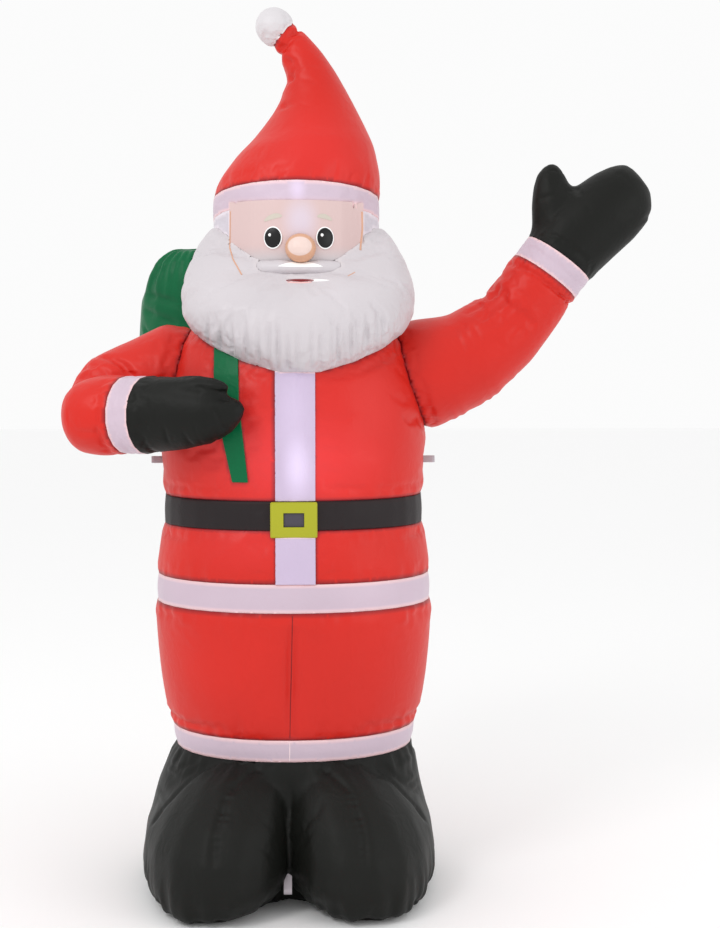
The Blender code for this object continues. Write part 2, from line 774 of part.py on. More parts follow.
def make_bent_arm(body, beard, placket, strap):
    """The arm bent across the chest: sleeve folded at the elbow, white cuff and mitten."""
    # x, lower height, upper height, depth, middle y
    upper = (
        (-0.235, 1.245, 1.515, 0.125, 0.000),
        (-0.350, 1.235, 1.538, 0.130, 0.000),
        (-0.430, 1.206, 1.500, 0.128, -0.015),
        (-0.490, 1.192, 1.474, 0.122, -0.035),
        (-0.540, 1.186, 1.450, 0.112, -0.065),
        (-0.576, 1.212, 1.400, 0.085, -0.085),
        (-0.595, 1.250, 1.350, 0.050, -0.095),
        (-0.601, 1.285, 1.315, 0.016, -0.100),
    )
    upper_rings = [
        ring(point(x, y, low), point(x, y, high), reach * FIGURE, reach * FIGURE, ARM_SIDES)
        for x, low, high, reach, y in upper
    ]
    along = Vector((0.891, -0.454, 0.0))
    aside = Vector((0.454, 0.891, 0.0))
    wrist = point(-0.437, -0.205, 1.2945)

    def section(distance, lift, half, reach, sides=ARM_SIDES, out=0.0):
        """A ring round the forearm's line at a distance past the wrist seam, at the pattern's scale."""
        centre = wrist + (along * distance + Vector((0, 0, lift)) - aside * out) * FIGURE
        rise = Vector((0, 0, half * FIGURE))
        return ring(centre - rise, centre + rise, reach * FIGURE, reach * FIGURE, sides, depth=aside)

    fore_rings = [
        section(-0.168, 0.0, 0.035, 0.035),
        section(-0.152, 0.0, 0.075, 0.075),
        section(-0.120, 0.0, 0.103, 0.105),
        section(-0.070, 0.0, 0.108, 0.112),
        section(0.0, 0.0, 0.102, 0.102),
    ]
    seam = fore_rings[-1]
    edge = moved(seam, along * SLEEVE_CUFF_WIDTH)
    cuff = [moved(seam, along * GAP), moved(seam, along * SLEEVE_CUFF_WIDTH / 2), edge]
    cuff = loft("cuff_bent", cuff, "white_polyester")

    # distance past the cuff, lift, half height, depth
    palm_outline = (
        (0.040, 0.005, 0.0985, 0.086),
        (0.112, 0.002, 0.089, 0.080),
        (0.183, -0.002, 0.073, 0.068),
        (0.231, 0.003, 0.053, 0.050),
        (0.265, 0.012, 0.031, 0.030),
        (0.281, 0.018, 0.010, 0.010),
    )
    thumb_outline = (
        (0.050, 0.075, 0.026, 0.034),
        (0.150, 0.079, 0.027, 0.032),
        (0.205, 0.075, 0.024, 0.028),
        (0.240, 0.073, 0.016, 0.018),
        (0.252, 0.073, 0.005, 0.006),
    )
    start = SLEEVE_CUFF_WIDTH / FIGURE
    palm = [moved(edge, along * GAP)]
    palm += [section(start + distance, lift, half, reach) for distance, lift, half, reach in palm_outline]
    digit = [
        section(start + distance, lift, half, reach, THUMB_SIDES, out=0.022)
        for distance, lift, half, reach in thumb_outline
    ]
    mesh = combined("mitten_bent", [loft_mesh("palm", palm), loft_mesh("thumb", digit)])
    mitten = add_part("mitten_bent", mesh, "black_polyester")
    keep_clear(mitten, body["coat"], placket["placket_upper"], strap)

    pressed = [loft_mesh("upper", upper_rings), grown(cuff.data), grown(mitten.data)]
    upper_mesh = combined("upper", pressed, "DIFFERENCE")
    mesh = combined("sleeve_bent", [loft_mesh("fore", fore_rings), upper_mesh])
    sleeve = add_part("sleeve_bent", mesh, "red_polyester")
    keep_clear(sleeve, body["coat"], beard)
    return sleeve


def make_sack(body, head, beard, strap, sleeve):
    """The green gift sack that hangs behind the shoulder."""
    # level, middle x, half width, depth, middle y
    stations = (
        (1.080, -0.166, 0.085, 0.060, 0.332),
        (1.150, -0.175, 0.200, 0.130, 0.345),
        (1.250, -0.185, 0.248, 0.165, 0.360),
        (1.400, -0.196, 0.262, 0.180, 0.370),
        (1.520, -0.202, 0.254, 0.176, 0.365),
        (1.610, -0.212, 0.238, 0.160, 0.350),
        (1.670, -0.228, 0.200, 0.135, 0.330),
        (1.715, -0.250, 0.150, 0.105, 0.310),
        (1.748, -0.282, 0.070, 0.055, 0.292),
    )
    rings = [
        ring(point(x - half, y, z), point(x + half, y, z), reach * FIGURE, reach * FIGURE, ARM_SIDES)
        for z, x, half, reach, y in stations
    ]
    sack = loft("sack", rings, "green_satin")
    keep_clear(sack, body["coat"], head["head"], beard, strap, sleeve)


def make_strap(body, head):
    """The sack's strap, from the sack over the shoulder and down the chest to its loose end."""
    rings = []
    for level in between(STRAP_BOTTOM, 1.540 * FIGURE, 7):
        rise = min((level - STRAP_BOTTOM) / (STRAP_FULL - STRAP_BOTTOM), 1.0)
        x = (-0.139 - 0.036 * rise) * FIGURE
        half = (STRAP_END_WIDTH + (STRAP_WIDTH - STRAP_END_WIDTH) * rise) / 2
        lying = [Vector((across, body_front(across, level), level)) for across in (x - half, x, x + half)]
        outer = moved(lying, Vector((0, -STRAP_THICKNESS, 0)))
        inner = moved(lying[::-1], Vector((0, STRAP_SINK, 0)))
        rings.append(outer + inner)
    over = ((-0.180, -0.085, 1.590), (-0.186, 0.010, 1.602), (-0.192, 0.095, 1.590), (-0.198, 0.170, 1.550))
    aside = Vector((STRAP_WIDTH / 2, 0, 0))
    places = [point(*place) for place in over]
    for index, place in enumerate(places):
        before, after = places[max(index - 1, 0)], places[min(index + 1, len(places) - 1)]
        outward = (after - before).normalized().cross(Vector((-1, 0, 0)))
        outer, inner = place + outward * STRAP_THICKNESS, place - outward * STRAP_SINK
        rings.append([outer - aside, outer, outer + aside, inner + aside, inner, inner - aside])
    strap = loft("sack_strap", rings, "green_satin")
    keep_clear(strap, body["coat"], head["head"])
    return strap


def loop_mesh(name, root, out, across, wide, reach, webbing):
    """A webbing loop: a flat U of webbing that stands out from its root and comes back to it."""
    outer, inner = [], []
    half = LOOP_OPEN / 2 + LOOP_WALL
    bend = 8
    for wall, line in ((0.0, outer), (LOOP_WALL, inner)):
        radius = half - wall
        line.append(root - across * radius)
        for step in range(bend + 1):
            angle = math.pi * step / bend
            turn = out * math.sin(angle) - across * math.cos(angle)
            line.append(root + out * (reach - half) + turn * radius)
        line.append(root + across * radius)
    outline = outer + inner[::-1]
    work = bmesh.new()
    lower = [work.verts.new(place - wide * webbing / 2) for place in outline]
    upper = [work.verts.new(place + wide * webbing / 2) for place in outline]
    count = len(outer)
    for step in range(count - 1):
        for row in (lower, upper):
            work.faces.new((row[step], row[step + 1], row[2 * count - 2 - step], row[2 * count - 1 - step]))
    for step in range(2 * count):
        after = (step + 1) % (2 * count)
        work.faces.new((lower[step], lower[after], upper[after], upper[step]))
    return finished_mesh(name, work)


def make_loops(body, boots):
    """Tether loops at both sides of the chest and the stake loop between the boots."""
    half = body_size(LOOP_LEVEL)[0]
    front_back, sideways, up = Vector((0, 1, 0)), Vector((1, 0, 0)), Vector((0, 0, 1))
    for name, side in (("tether_loop_left", 1), ("tether_loop_right", -1)):
        root = Vector((side * (half - LOOP_SINK), 0, LOOP_LEVEL))
        out = sideways * side
        mesh = loop_mesh(name, root, out, front_back, up, LOOP_REACH + LOOP_SINK, LOOP_WEBBING)
        keep_clear(add_part(name, mesh, "webbing"), body["coat"])
    out = Vector((0, -0.8, -0.6))
    across = Vector((0, 0.6, -0.8))
    root = Vector((BOOTS_X, 0, 0)) + point(-0.004, -0.324, 0.090) - out * STAKE_LOOP_SINK
    reach = STAKE_LOOP_REACH + STAKE_LOOP_SINK
    mesh = loop_mesh("stake_loop", root, out, across, sideways, reach, STAKE_LOOP_WEBBING)
    keep_clear(add_part("stake_loop", mesh, "webbing"), boots)


def turned(name, profile, finish, place, closed):
    """A piece turned round the Y axis through a place, from (radius, distance backwards) points."""
    work = bmesh.new()
    corners = [work.verts.new((radius, 0, away)) for radius, away in profile]
    for start, end in zip(corners, corners[1:]):
        work.edges.new((start, end))
    if closed:
        work.edges.new((corners[-1], corners[0]))
    mesh = bpy.data.meshes.new(name)
    work.to_mesh(mesh)
    work.free()
    obj = add_part(name, mesh, finish)
    obj.location = place
    obj.rotation_euler = (math.radians(-90), 0, 0)
    screw = obj.modifiers.new("turn", "SCREW")
    screw.steps = screw.render_steps = TURNED_SIDES
    screw.use_merge_vertices = True
    screw.merge_threshold = 0.0001
    screw.use_normal_calculate = True
    return obj


def make_blower(body):
    """The fan's round intake at the low back: a rim let into the trousers and a ribbed grille inside it."""
    surface = body_size(BLOWER_LEVEL)[2]
    place = Vector((0, surface, BLOWER_LEVEL))
    depth = -BLOWER_DEPTH
    inner = BLOWER_RADIUS - BLOWER_RIM
    rim = (
        (inner, depth),
        (inner, BLOWER_PROUD),
        (BLOWER_RADIUS - BLOWER_EDGE, BLOWER_PROUD),
        (BLOWER_RADIUS, BLOWER_PROUD - BLOWER_EDGE),
        (BLOWER_RADIUS, depth),
    )
    rim = turned("blower_rim", rim[::-1], "blower_plastic", place, closed=True)
    keep_clear(rim, body["trousers"])
    edge = inner - GAP
    top = BLOWER_PROUD - GRILLE_RECESS
    profile = [(0.0, top)]
    pitch = edge / (2 * GRILLE_GROOVES + 1)
    for groove in range(GRILLE_GROOVES):
        start = pitch * (2 * groove + 1)
        floor = top - GROOVE_DEPTH
        profile += [(start, top), (start, floor), (start + pitch, floor), (start + pitch, top)]
    profile += [(edge, top), (edge, depth), (0.0, depth)]
    grille = turned("blower_grille", profile, "blower_plastic", place, closed=False)
    keep_clear(grille, body["trousers"])


def build():
    """Makes every piece, each cut clear of those it lies against."""
    clear_scene()
    make_materials()
    boots = make_boots()
    body = make_body()
    placket = make_placket(body)
    make_buckle(body, placket)
    head = make_head()
    hat = make_hat()
    keep_clear(head["face"], hat["hat_band"])
    mouth = make_mouth(head)
    strap = make_strap(body, head)
    beard = make_beard(body, placket, head, mouth, strap)
    make_raised_arm(body, beard)
    sleeve = make_bent_arm(body, beard, placket, strap)
    make_sack(body, head, beard, strap, sleeve)
    make_loops(body, boots)
    make_blower(body)


build()
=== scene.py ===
"""Inflatable santa, dressed: thin polyester held out by air, sewn seams, face patches, webbing and fan.

Metres, +Z up. The figure stands on Z = 0 and faces -Y. Each fabric section starts from the solid it stands
for, is filled with air by a cloth simulation that is pinned where it meets its neighbours, and gets its
creases and seam lines afterwards.
"""

from __future__ import annotations

import json
import logging
import math
from collections.abc import Callable
from dataclasses import dataclass
from enum import Enum
from functools import partial

import bmesh
import bpy
import numpy as np
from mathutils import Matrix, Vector
from mathutils.bvhtree import BVHTree

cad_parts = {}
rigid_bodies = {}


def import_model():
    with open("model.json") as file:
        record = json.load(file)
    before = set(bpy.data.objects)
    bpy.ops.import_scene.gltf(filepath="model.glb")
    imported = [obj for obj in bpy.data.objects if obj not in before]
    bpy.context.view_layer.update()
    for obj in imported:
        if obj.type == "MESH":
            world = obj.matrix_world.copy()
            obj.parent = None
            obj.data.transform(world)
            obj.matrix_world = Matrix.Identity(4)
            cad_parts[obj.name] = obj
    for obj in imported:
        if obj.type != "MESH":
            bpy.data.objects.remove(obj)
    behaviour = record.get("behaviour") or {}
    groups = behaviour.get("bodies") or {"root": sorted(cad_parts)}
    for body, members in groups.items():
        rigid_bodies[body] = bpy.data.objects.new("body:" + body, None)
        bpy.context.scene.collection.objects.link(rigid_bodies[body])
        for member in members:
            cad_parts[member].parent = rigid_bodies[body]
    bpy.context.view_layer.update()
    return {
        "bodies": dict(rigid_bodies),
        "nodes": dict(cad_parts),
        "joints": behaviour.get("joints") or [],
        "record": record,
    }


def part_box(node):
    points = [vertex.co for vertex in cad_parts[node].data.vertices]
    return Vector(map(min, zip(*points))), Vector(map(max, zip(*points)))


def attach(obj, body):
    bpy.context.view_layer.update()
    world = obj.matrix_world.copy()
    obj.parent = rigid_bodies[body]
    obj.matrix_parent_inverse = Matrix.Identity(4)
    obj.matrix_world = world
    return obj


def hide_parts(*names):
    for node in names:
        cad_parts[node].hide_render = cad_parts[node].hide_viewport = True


log = logging.getLogger("inflatable_santa")

Colour = tuple[float, float, float]
Place = tuple[float, float, float]

ROOT = "root"
VIEWER_Y = -2.0
SHARP_TURN = math.radians(48)
SEWN_TURN = math.radians(40)
FREE_FROM_SEAM = 0.035
SEAM_NEAR = 1.2
SEAM_SNAP = 0.92
LEVEL_NORMAL = 0.97


def linear(colour: Colour) -> tuple[float, float, float, float]:
    """Linear colour of a screen colour.

    Args:
        colour: Red, green and blue from 0 to 255.

    Returns:
        The linear colour with an alpha of one.
    """
    shares = (value / 255 for value in colour)
    red, green, blue = (s / 12.92 if s <= 0.04045 else ((s + 0.055) / 1.055) ** 2.4 for s in shares)
    return red, green, blue, 1.0


def smooth_step(values: np.ndarray, low: float, high: float) -> np.ndarray:
    """Eases from 0 at low to 1 at high.

    Args:
        values: The values to ease.
        low: Where the result is 0.
        high: Where the result is 1.

    Returns:
        The eased values.
    """
    share = np.clip((values - low) / (high - low), 0.0, 1.0)
    return share * share * (3 - 2 * share)


class Grain(Enum):
    """How the fine surface of a finish looks."""

    SATIN = "satin"
    MATTE = "matte"
    WEBBING = "webbing"
    MOULDED = "moulded"


@dataclass(frozen=True)
class Glow:
    """A painted glow: emission painted on the fabric round one place, standing in for light from the lamp
    inside that shows through it.
    """

    centre: Place
    reach: Place
    strength: float


@dataclass(frozen=True)
class Fade:
    """A second colour below a level."""

    low: float
    high: float
    colour: Colour


@dataclass(frozen=True)
class Spot:
    """A second colour inside an oval, seen from the front."""

    centre: Place
    half_width: float
    half_height: float
    colour: Colour
    edge: float = 0.90


@dataclass(frozen=True)
class Finish:
    """A surface finish and how its material is built."""

    name: str
    slot: str
    colour: Colour
    seam: Colour
    grain: Grain = Grain.SATIN
    roughness: float = 0.42
    sheen: float = 0.25
    specular: float = 0.30
    variation: float = 0.05
    crinkle: float = 0.30
    sheen_tint: Colour = (255, 255, 255)
    # glows and glow_colour: painted glow, emission standing in for light from inside that shows through the
    # fabric
    glows: tuple[Glow, ...] = ()
    glow_colour: Colour = (255, 255, 255)
    fade: Fade | None = None
    spot: Spot | None = None

    def material(self) -> bpy.types.Material:
        """The material of this finish, built once.

        Returns:
            The material.
        """
        made = bpy.data.materials.get(self.name)
        if made is not None:
            return made
        made = bpy.data.materials.new(self.name)
        made.use_nodes = True
        made.diffuse_color = linear(self.colour)
        tree = made.node_tree
        shader = tree.nodes["Principled BSDF"]
        shader.inputs["Roughness"].default_value = self.roughness
        shader.inputs["Sheen Weight"].default_value = self.sheen
        shader.inputs["Sheen Roughness"].default_value = 0.30
        shader.inputs["Sheen Tint"].default_value = linear(self.sheen_tint)
        shader.inputs["Specular IOR Level"].default_value = self.specular
        coords = tree.nodes.new("ShaderNodeTexCoord").outputs["Object"]
        colour = self._tone(tree, coords)
        if self.fade:
            colour = self._mixed(tree, self._fade_share(tree, coords, self.fade), colour, self.fade.colour)
        if self.spot:
            colour = self._mixed(tree, self._spot_share(tree, coords, self.spot), colour, self.spot.colour)
        line = tree.nodes.new("ShaderNodeAttribute")
        line.attribute_name = "seam"
        colour = self._mixed(tree, line.outputs["Fac"], colour, self.seam)
        tree.links.new(colour, shader.inputs["Base Color"])
        self._relief(tree, coords, shader)
        # painted glow: emission laid on the fabric round the glow places
        if self.glows:
            self._painted_glow(tree, coords, shader)
        return made

    def _tone(self, tree: bpy.types.NodeTree, coords: bpy.types.NodeSocket) -> bpy.types.NodeSocket:
        """The colour with a soft uneven tone.

        Args:
            tree: The material's nodes.
            coords: Object coordinates.

        Returns:
            The colour socket.
        """
        cloud = tree.nodes.new("ShaderNodeTexNoise")
        cloud.inputs["Scale"].default_value = 3.0
        cloud.inputs["Detail"].default_value = 2.0
        tree.links.new(coords, cloud.inputs["Vector"])
        ramp = tree.nodes.new("ShaderNodeValToRGB")
        base = linear(self.colour)
        ramp.color_ramp.elements[0].position = 0.30
        ramp.color_ramp.elements[0].color = (*(c * (1 - self.variation) for c in base[:3]), 1.0)
        ramp.color_ramp.elements[1].position = 0.70
        ramp.color_ramp.elements[1].color = (*(min(1.0, c * (1 + self.variation)) for c in base[:3]), 1.0)
        tree.links.new(cloud.outputs["Fac"], ramp.inputs["Fac"])
        return ramp.outputs["Color"]

    @staticmethod
    def _mixed(
        tree: bpy.types.NodeTree, share: bpy.types.NodeSocket, under: bpy.types.NodeSocket, over: Colour
    ) -> bpy.types.NodeSocket:
        """A colour laid over another where share is one.

        Args:
            tree: The material's nodes.
            share: How much of the upper colour shows.
            under: The lower colour.
            over: The upper colour, as a screen colour.

        Returns:
            The mixed colour socket.
        """
        mix = tree.nodes.new("ShaderNodeMix")
        mix.data_type = "RGBA"
        mix.inputs["B"].default_value = linear(over)
        tree.links.new(share, mix.inputs["Factor"])
        tree.links.new(under, mix.inputs["A"])
        return mix.outputs["Result"]

    @classmethod
    def _fade_share(
        cls, tree: bpy.types.NodeTree, coords: bpy.types.NodeSocket, fade: Fade
    ) -> bpy.types.NodeSocket:
        """One below the fade's low level and zero above its high one.

        Args:
            tree: The material's nodes.
            coords: Object coordinates.
            fade: The fade.

        Returns:
            The share socket.
        """
        split = tree.nodes.new("ShaderNodeSeparateXYZ")
        tree.links.new(coords, split.inputs["Vector"])
        return cls._falling(tree, split.outputs["Z"], fade.low, fade.high)

    @staticmethod
    def _falling(
        tree: bpy.types.NodeTree, value: bpy.types.NodeSocket, low: float, high: float
    ) -> bpy.types.NodeSocket:
        """One up to a low value, from where it eases to zero at a high one.

        Args:
            tree: The material's nodes.
            value: The value socket.
            low: Where the easing starts.
            high: Where it ends.

        Returns:
            The share socket.
        """
        ranged = tree.nodes.new("ShaderNodeMapRange")
        ranged.interpolation_type = "SMOOTHSTEP"
        for name, level in (("From Min", low), ("From Max", high), ("To Min", 1.0), ("To Max", 0.0)):
            ranged.inputs[name].default_value = level
        tree.links.new(value, ranged.inputs["Value"])
        return ranged.outputs["Result"]

    @classmethod
    def _distance_share(
        cls, tree: bpy.types.NodeTree, coords: bpy.types.NodeSocket, centre: Place, scale: Place, edge: float
    ) -> bpy.types.NodeSocket:
        """One inside an ellipsoid that eases to zero over its edge.

        Args:
            tree: The material's nodes.
            coords: Object coordinates.
            centre: Middle of the ellipsoid.
            scale: One over its half sizes.
            edge: Share of the radius where the easing starts.

        Returns:
            The share socket.
        """
        shift = tree.nodes.new("ShaderNodeVectorMath")
        shift.operation = "SUBTRACT"
        shift.inputs[1].default_value = centre
        tree.links.new(coords, shift.inputs[0])
        stretch = tree.nodes.new("ShaderNodeVectorMath")
        stretch.operation = "MULTIPLY"
        stretch.inputs[1].default_value = scale
        tree.links.new(shift.outputs["Vector"], stretch.inputs[0])
        length = tree.nodes.new("ShaderNodeVectorMath")
        length.operation = "LENGTH"
        tree.links.new(stretch.outputs["Vector"], length.inputs[0])
        return cls._falling(tree, length.outputs["Value"], edge, 1.0)

    @classmethod
    def _spot_share(
        cls, tree: bpy.types.NodeTree, coords: bpy.types.NodeSocket, spot: Spot
    ) -> bpy.types.NodeSocket:
        """One inside the spot's oval, whatever the depth.

        Args:
            tree: The material's nodes.
            coords: Object coordinates.
            spot: The spot.

        Returns:
            The share socket.
        """
        scale = (1 / spot.half_width, 0.0, 1 / spot.half_height)
        return cls._distance_share(tree, coords, spot.centre, scale, spot.edge)

    def _relief(
        self, tree: bpy.types.NodeTree, coords: bpy.types.NodeSocket, shader: bpy.types.ShaderNode
    ) -> None:
        """Fine crinkles and the grain of the weave, as bumps.

        Args:
            tree: The material's nodes.
            coords: Object coordinates.
            shader: The material's shader.
        """
        crumple = tree.nodes.new("ShaderNodeTexNoise")
        crumple.inputs["Scale"].default_value = 22.0
        crumple.inputs["Detail"].default_value = 3.0
        crumple.inputs["Distortion"].default_value = 0.8
        tree.links.new(coords, crumple.inputs["Vector"])
        folds = tree.nodes.new("ShaderNodeBump")
        folds.inputs["Strength"].default_value = self.crinkle
        folds.inputs["Distance"].default_value = 0.006
        tree.links.new(crumple.outputs["Fac"], folds.inputs["Height"])
        pattern = "ShaderNodeTexWave" if self.grain is Grain.WEBBING else "ShaderNodeTexNoise"
        thread = tree.nodes.new(pattern)
        thread.inputs["Scale"].default_value = {
            Grain.SATIN: 700.0,
            Grain.MATTE: 500.0,
            Grain.WEBBING: 260.0,
            Grain.MOULDED: 300.0,
        }[self.grain]
        tree.links.new(coords, thread.inputs["Vector"])
        weave = tree.nodes.new("ShaderNodeBump")
        weave.inputs["Strength"].default_value = 0.5 if self.grain is Grain.WEBBING else 0.12
        weave.inputs["Distance"].default_value = 0.0008
        tree.links.new(thread.outputs["Fac"], weave.inputs["Height"])
        tree.links.new(folds.outputs["Normal"], weave.inputs["Normal"])
        tree.links.new(weave.outputs["Normal"], shader.inputs["Normal"])

    def _painted_glow(
        self, tree: bpy.types.NodeTree, coords: bpy.types.NodeSocket, shader: bpy.types.ShaderNode
    ) -> None:
        """Painted glow: emission painted on the fabric round the glow places, standing in for light that
        shows through it.

        Args:
            tree: The material's nodes.
            coords: Object coordinates.
            shader: The material's shader.
        """
        total: bpy.types.NodeSocket | None = None
        for glow in self.glows:
            scale = (1 / glow.reach[0], 1 / glow.reach[1], 1 / glow.reach[2])
            share = self._distance_share(tree, coords, glow.centre, scale, 0.0)
            level = tree.nodes.new("ShaderNodeMath")
            level.operation = "MULTIPLY_ADD"
            level.inputs[1].default_value = glow.strength
            level.inputs[2].default_value = 0.0
            tree.links.new(share, level.inputs[0])
            if total is not None:
                tree.links.new(total, level.inputs[2])
            total = level.outputs["Value"]
        shader.inputs["Emission Color"].default_value = linear(self.glow_colour)
        tree.links.new(total, shader.inputs["Emission Strength"])


RED = Finish(
    "red_air_polyester",
    "red_polyester",
    (206, 34, 22),
    (132, 24, 30),
    sheen=0.14,
    sheen_tint=(255, 96, 70),
    # painted glows: emission painted on the chest, the skirt and the hat, standing in for light from inside
    glows=(
        Glow((0.0, -0.30, 1.17), (0.30, 0.30, 0.16), 0.12),
        Glow((0.0, -0.28, 1.22), (0.50, 0.40, 0.34), 0.07),
        Glow((-0.10, -0.30, 0.96), (0.30, 0.30, 0.12), 0.06),
        Glow((0.05, -0.20, 1.98), (0.24, 0.30, 0.20), 0.06),
    ),
    glow_colour=(255, 104, 122),
)
WHITE_BAND = Finish(
    "white_band_polyester",
    "white_polyester",
    (201, 182, 196),
    (242, 204, 206),
    sheen=0.10,
    crinkle=0.25,
    # painted glows: emission painted on the front of the hat band, standing in for light from inside
    glows=(
        Glow((0.012, -0.21, 1.885), (0.032, 0.10, 0.05), 0.22),
        Glow((0.0, -0.20, 1.87), (0.20, 0.20, 0.09), 0.06),
    ),
    glow_colour=(212, 206, 255),
)
PLACKET_WHITE = Finish(
    "lit_placket_polyester",
    "white_polyester",
    (200, 183, 209),
    (244, 210, 216),
    sheen=0.10,
    # painted glows: emission painted down the white front strip, standing in for light from inside
    glows=(
        Glow((0.01, -0.30, 1.16), (0.05, 0.10, 0.11), 0.26),
        Glow((0.0, -0.30, 1.30), (0.06, 0.10, 0.20), 0.08),
    ),
    glow_colour=(232, 222, 255),
)
BEARD_WHITE = Finish(
    "beard_polyester", "white_polyester", (203, 197, 201), (212, 205, 208), sheen=0.10
)
HEAD_WHITE = Finish("head_polyester", "white_polyester", (203, 196, 205), (234, 224, 232), sheen=0.10)
POMPOM_WHITE = Finish(
    "pompom_polyester", "white_polyester", (212, 208, 211), (236, 230, 232), sheen=0.15, crinkle=0.5
)
BLACK = Finish(
    "black_air_polyester",
    "black_polyester",
    (17, 18, 15),
    (10, 10, 10),
    roughness=0.52,
    sheen=0.04,
    specular=0.20,
    sheen_tint=(150, 160, 150),
    variation=0.12,
    crinkle=0.35,
)
BELT_BLACK = Finish(
    "belt_polyester", "black_polyester", (28, 19, 21), (36, 16, 18), roughness=0.54, sheen=0.04, crinkle=0.25
)
SKIN = Finish(
    "face_polyester",
    "skin_polyester",
    (212, 186, 184),
    (206, 164, 140),
    sheen=0.06,
    variation=0.03,
    crinkle=0.10,
    fade=Fade(1.690, 1.745, (199, 193, 196)),
    # painted glow: a paler oval painted on the forehead, standing in for light from inside that shows through
    # the face
    spot=Spot((0.020, 0.0, 1.800), 0.062, 0.085, (216, 201, 213), edge=0.1),
)
SEAM_TAN = Finish(
    "tan_seam_thread", "nose_polyester", (214, 166, 140), (214, 166, 140), grain=Grain.MATTE, sheen=0.0
)
SEAM_RED = Finish(
    "red_seam_thread", "red_polyester", (120, 26, 30), (120, 26, 30), grain=Grain.MATTE, sheen=0.0
)
SEAM_WHITE = Finish(
    "white_seam_thread", "white_polyester", (244, 222, 226), (244, 222, 226), grain=Grain.MATTE, sheen=0.0
)
NOSE = Finish(
    "nose_polyester_patch",
    "nose_polyester",
    (212, 164, 134),
    (206, 160, 130),
    sheen=0.05,
    crinkle=0.06,
    # the paler oval is partly the nose's own colour and partly a painted highlight, and the tan round it is
    # partly the seam's colour and partly painted shade
    spot=Spot((0.0175, 0.0, 1.7330), 0.0330, 0.0260, (232, 208, 200)),
)
MOUTH = Finish("mouth_polyester", "mouth_red", (148, 62, 66), (120, 40, 44), sheen=0.0, crinkle=0.05)
LIP = Finish("lower_lip_polyester", "mouth_red", (240, 196, 194), (240, 190, 186), sheen=0.0, crinkle=0.05)
EYE = Finish("eye_patch", "eye_black", (16, 16, 18), (16, 16, 18), roughness=0.34, sheen=0.0, crinkle=0.04)
# white of the printed eye outlines and glints, and of the painted highlight under the nose and the gleam by
# the mouth
WHITE_PRINT_AND_HIGHLIGHT = Finish(
    "white_print_and_highlight", "white_polyester", (250, 250, 252), (250, 250, 252), sheen=0.0, crinkle=0.04
)
BROW = Finish("brow_patch", "white_polyester", (200, 192, 180), (200, 192, 180), sheen=0.0, crinkle=0.05)
GREEN = Finish(
    "green_satin_cloth",
    "green_satin",
    (0, 102, 60),
    (0, 66, 38),
    roughness=0.40,
    sheen=0.02,
    specular=0.18,
    sheen_tint=(60, 220, 150),
    variation=0.20,
    crinkle=0.35,
)
YELLOW = Finish(
    "yellow_vinyl_patch",
    "yellow_vinyl",
    (168, 169, 36),
    (226, 222, 110),
    roughness=0.42,
    sheen=0.0,
    crinkle=0.10,
)
GREY = Finish(
    "grey_vinyl_patch", "grey_vinyl", (72, 68, 78), (20, 20, 20), roughness=0.42, sheen=0.0, crinkle=0.08
)
WEBBING = Finish(
    "grey_webbing",
    "webbing",
    (186, 178, 184),
    (180, 180, 184),
    grain=Grain.WEBBING,
    roughness=0.6,
    sheen=0.0,
    crinkle=0.05,
)
PLASTIC = Finish(
    "fan_plastic",
    "blower_plastic",
    (38, 38, 40),
    (38, 38, 40),
    grain=Grain.MOULDED,
    roughness=0.42,
    sheen=0.0,
    crinkle=0.02,
)


def deselect() -> None:
    """Leaves object mode with nothing selected."""
    if bpy.context.mode != "OBJECT":
        bpy.ops.object.mode_set(mode="OBJECT")
    bpy.ops.object.select_all(action="DESELECT")


def pick(obj: bpy.types.Object) -> None:
    """Makes one object the only selected and the active one.

    Args:
        obj: The object.
    """
    deselect()
    obj.select_set(True)
    bpy.context.view_layer.objects.active = obj


def edit_all(obj: bpy.types.Object, *steps: Callable[[], object]) -> None:
    """Runs some of edit mode's steps on the whole of a mesh.

    Args:
        obj: The mesh object.
        *steps: The steps, in their order.
    """
    pick(obj)
    bpy.ops.object.mode_set(mode="EDIT")
    bpy.ops.mesh.select_all(action="SELECT")
    for step in steps:
        step()
    bpy.ops.object.mode_set(mode="OBJECT")


def apply_modifier(obj: bpy.types.Object, kind: str, **settings: object) -> None:
    """Adds a modifier, sets it and applies it.

    Args:
        obj: The object to change.
        kind: The modifier's type.
        **settings: Its values by name.
    """
    modifier = obj.modifiers.new(kind.lower(), kind)
    for name, value in settings.items():
        setattr(modifier, name, value)
    pick(obj)
    bpy.ops.object.modifier_apply(modifier=modifier.name)


def corners(obj: bpy.types.Object) -> np.ndarray:
    """The vertices of a mesh.

    Args:
        obj: The mesh object.

    Returns:
        One row of x, y and z for each vertex.
    """
    flat = np.empty(len(obj.data.vertices) * 3, np.float32)
    obj.data.vertices.foreach_get("co", flat)
    return flat.reshape(-1, 3).astype(float)


def normals(obj: bpy.types.Object) -> np.ndarray:
    """The vertex normals of a mesh.

    Args:
        obj: The mesh object.

    Returns:
        One row for each vertex.
    """
    flat = np.empty(len(obj.data.vertices) * 3, np.float32)
    obj.data.vertex_normals.foreach_get("vector", flat)
    return flat.reshape(-1, 3).astype(float)


def place_corners(obj: bpy.types.Object, points: np.ndarray) -> None:
    """Moves the vertices of a mesh.

    Args:
        obj: The mesh object.
        points: The new places.
    """
    obj.data.vertices.foreach_set("co", points.astype(np.float32).ravel())
    obj.data.update()


def search_tree(mesh: bpy.types.Mesh) -> BVHTree:
    """The search tree of a mesh.

    Args:
        mesh: The mesh.

    Returns:
        The tree.
    """
    places = [vertex.co for vertex in mesh.vertices]
    return BVHTree.FromPolygons(places, [face.vertices[:] for face in mesh.polygons])


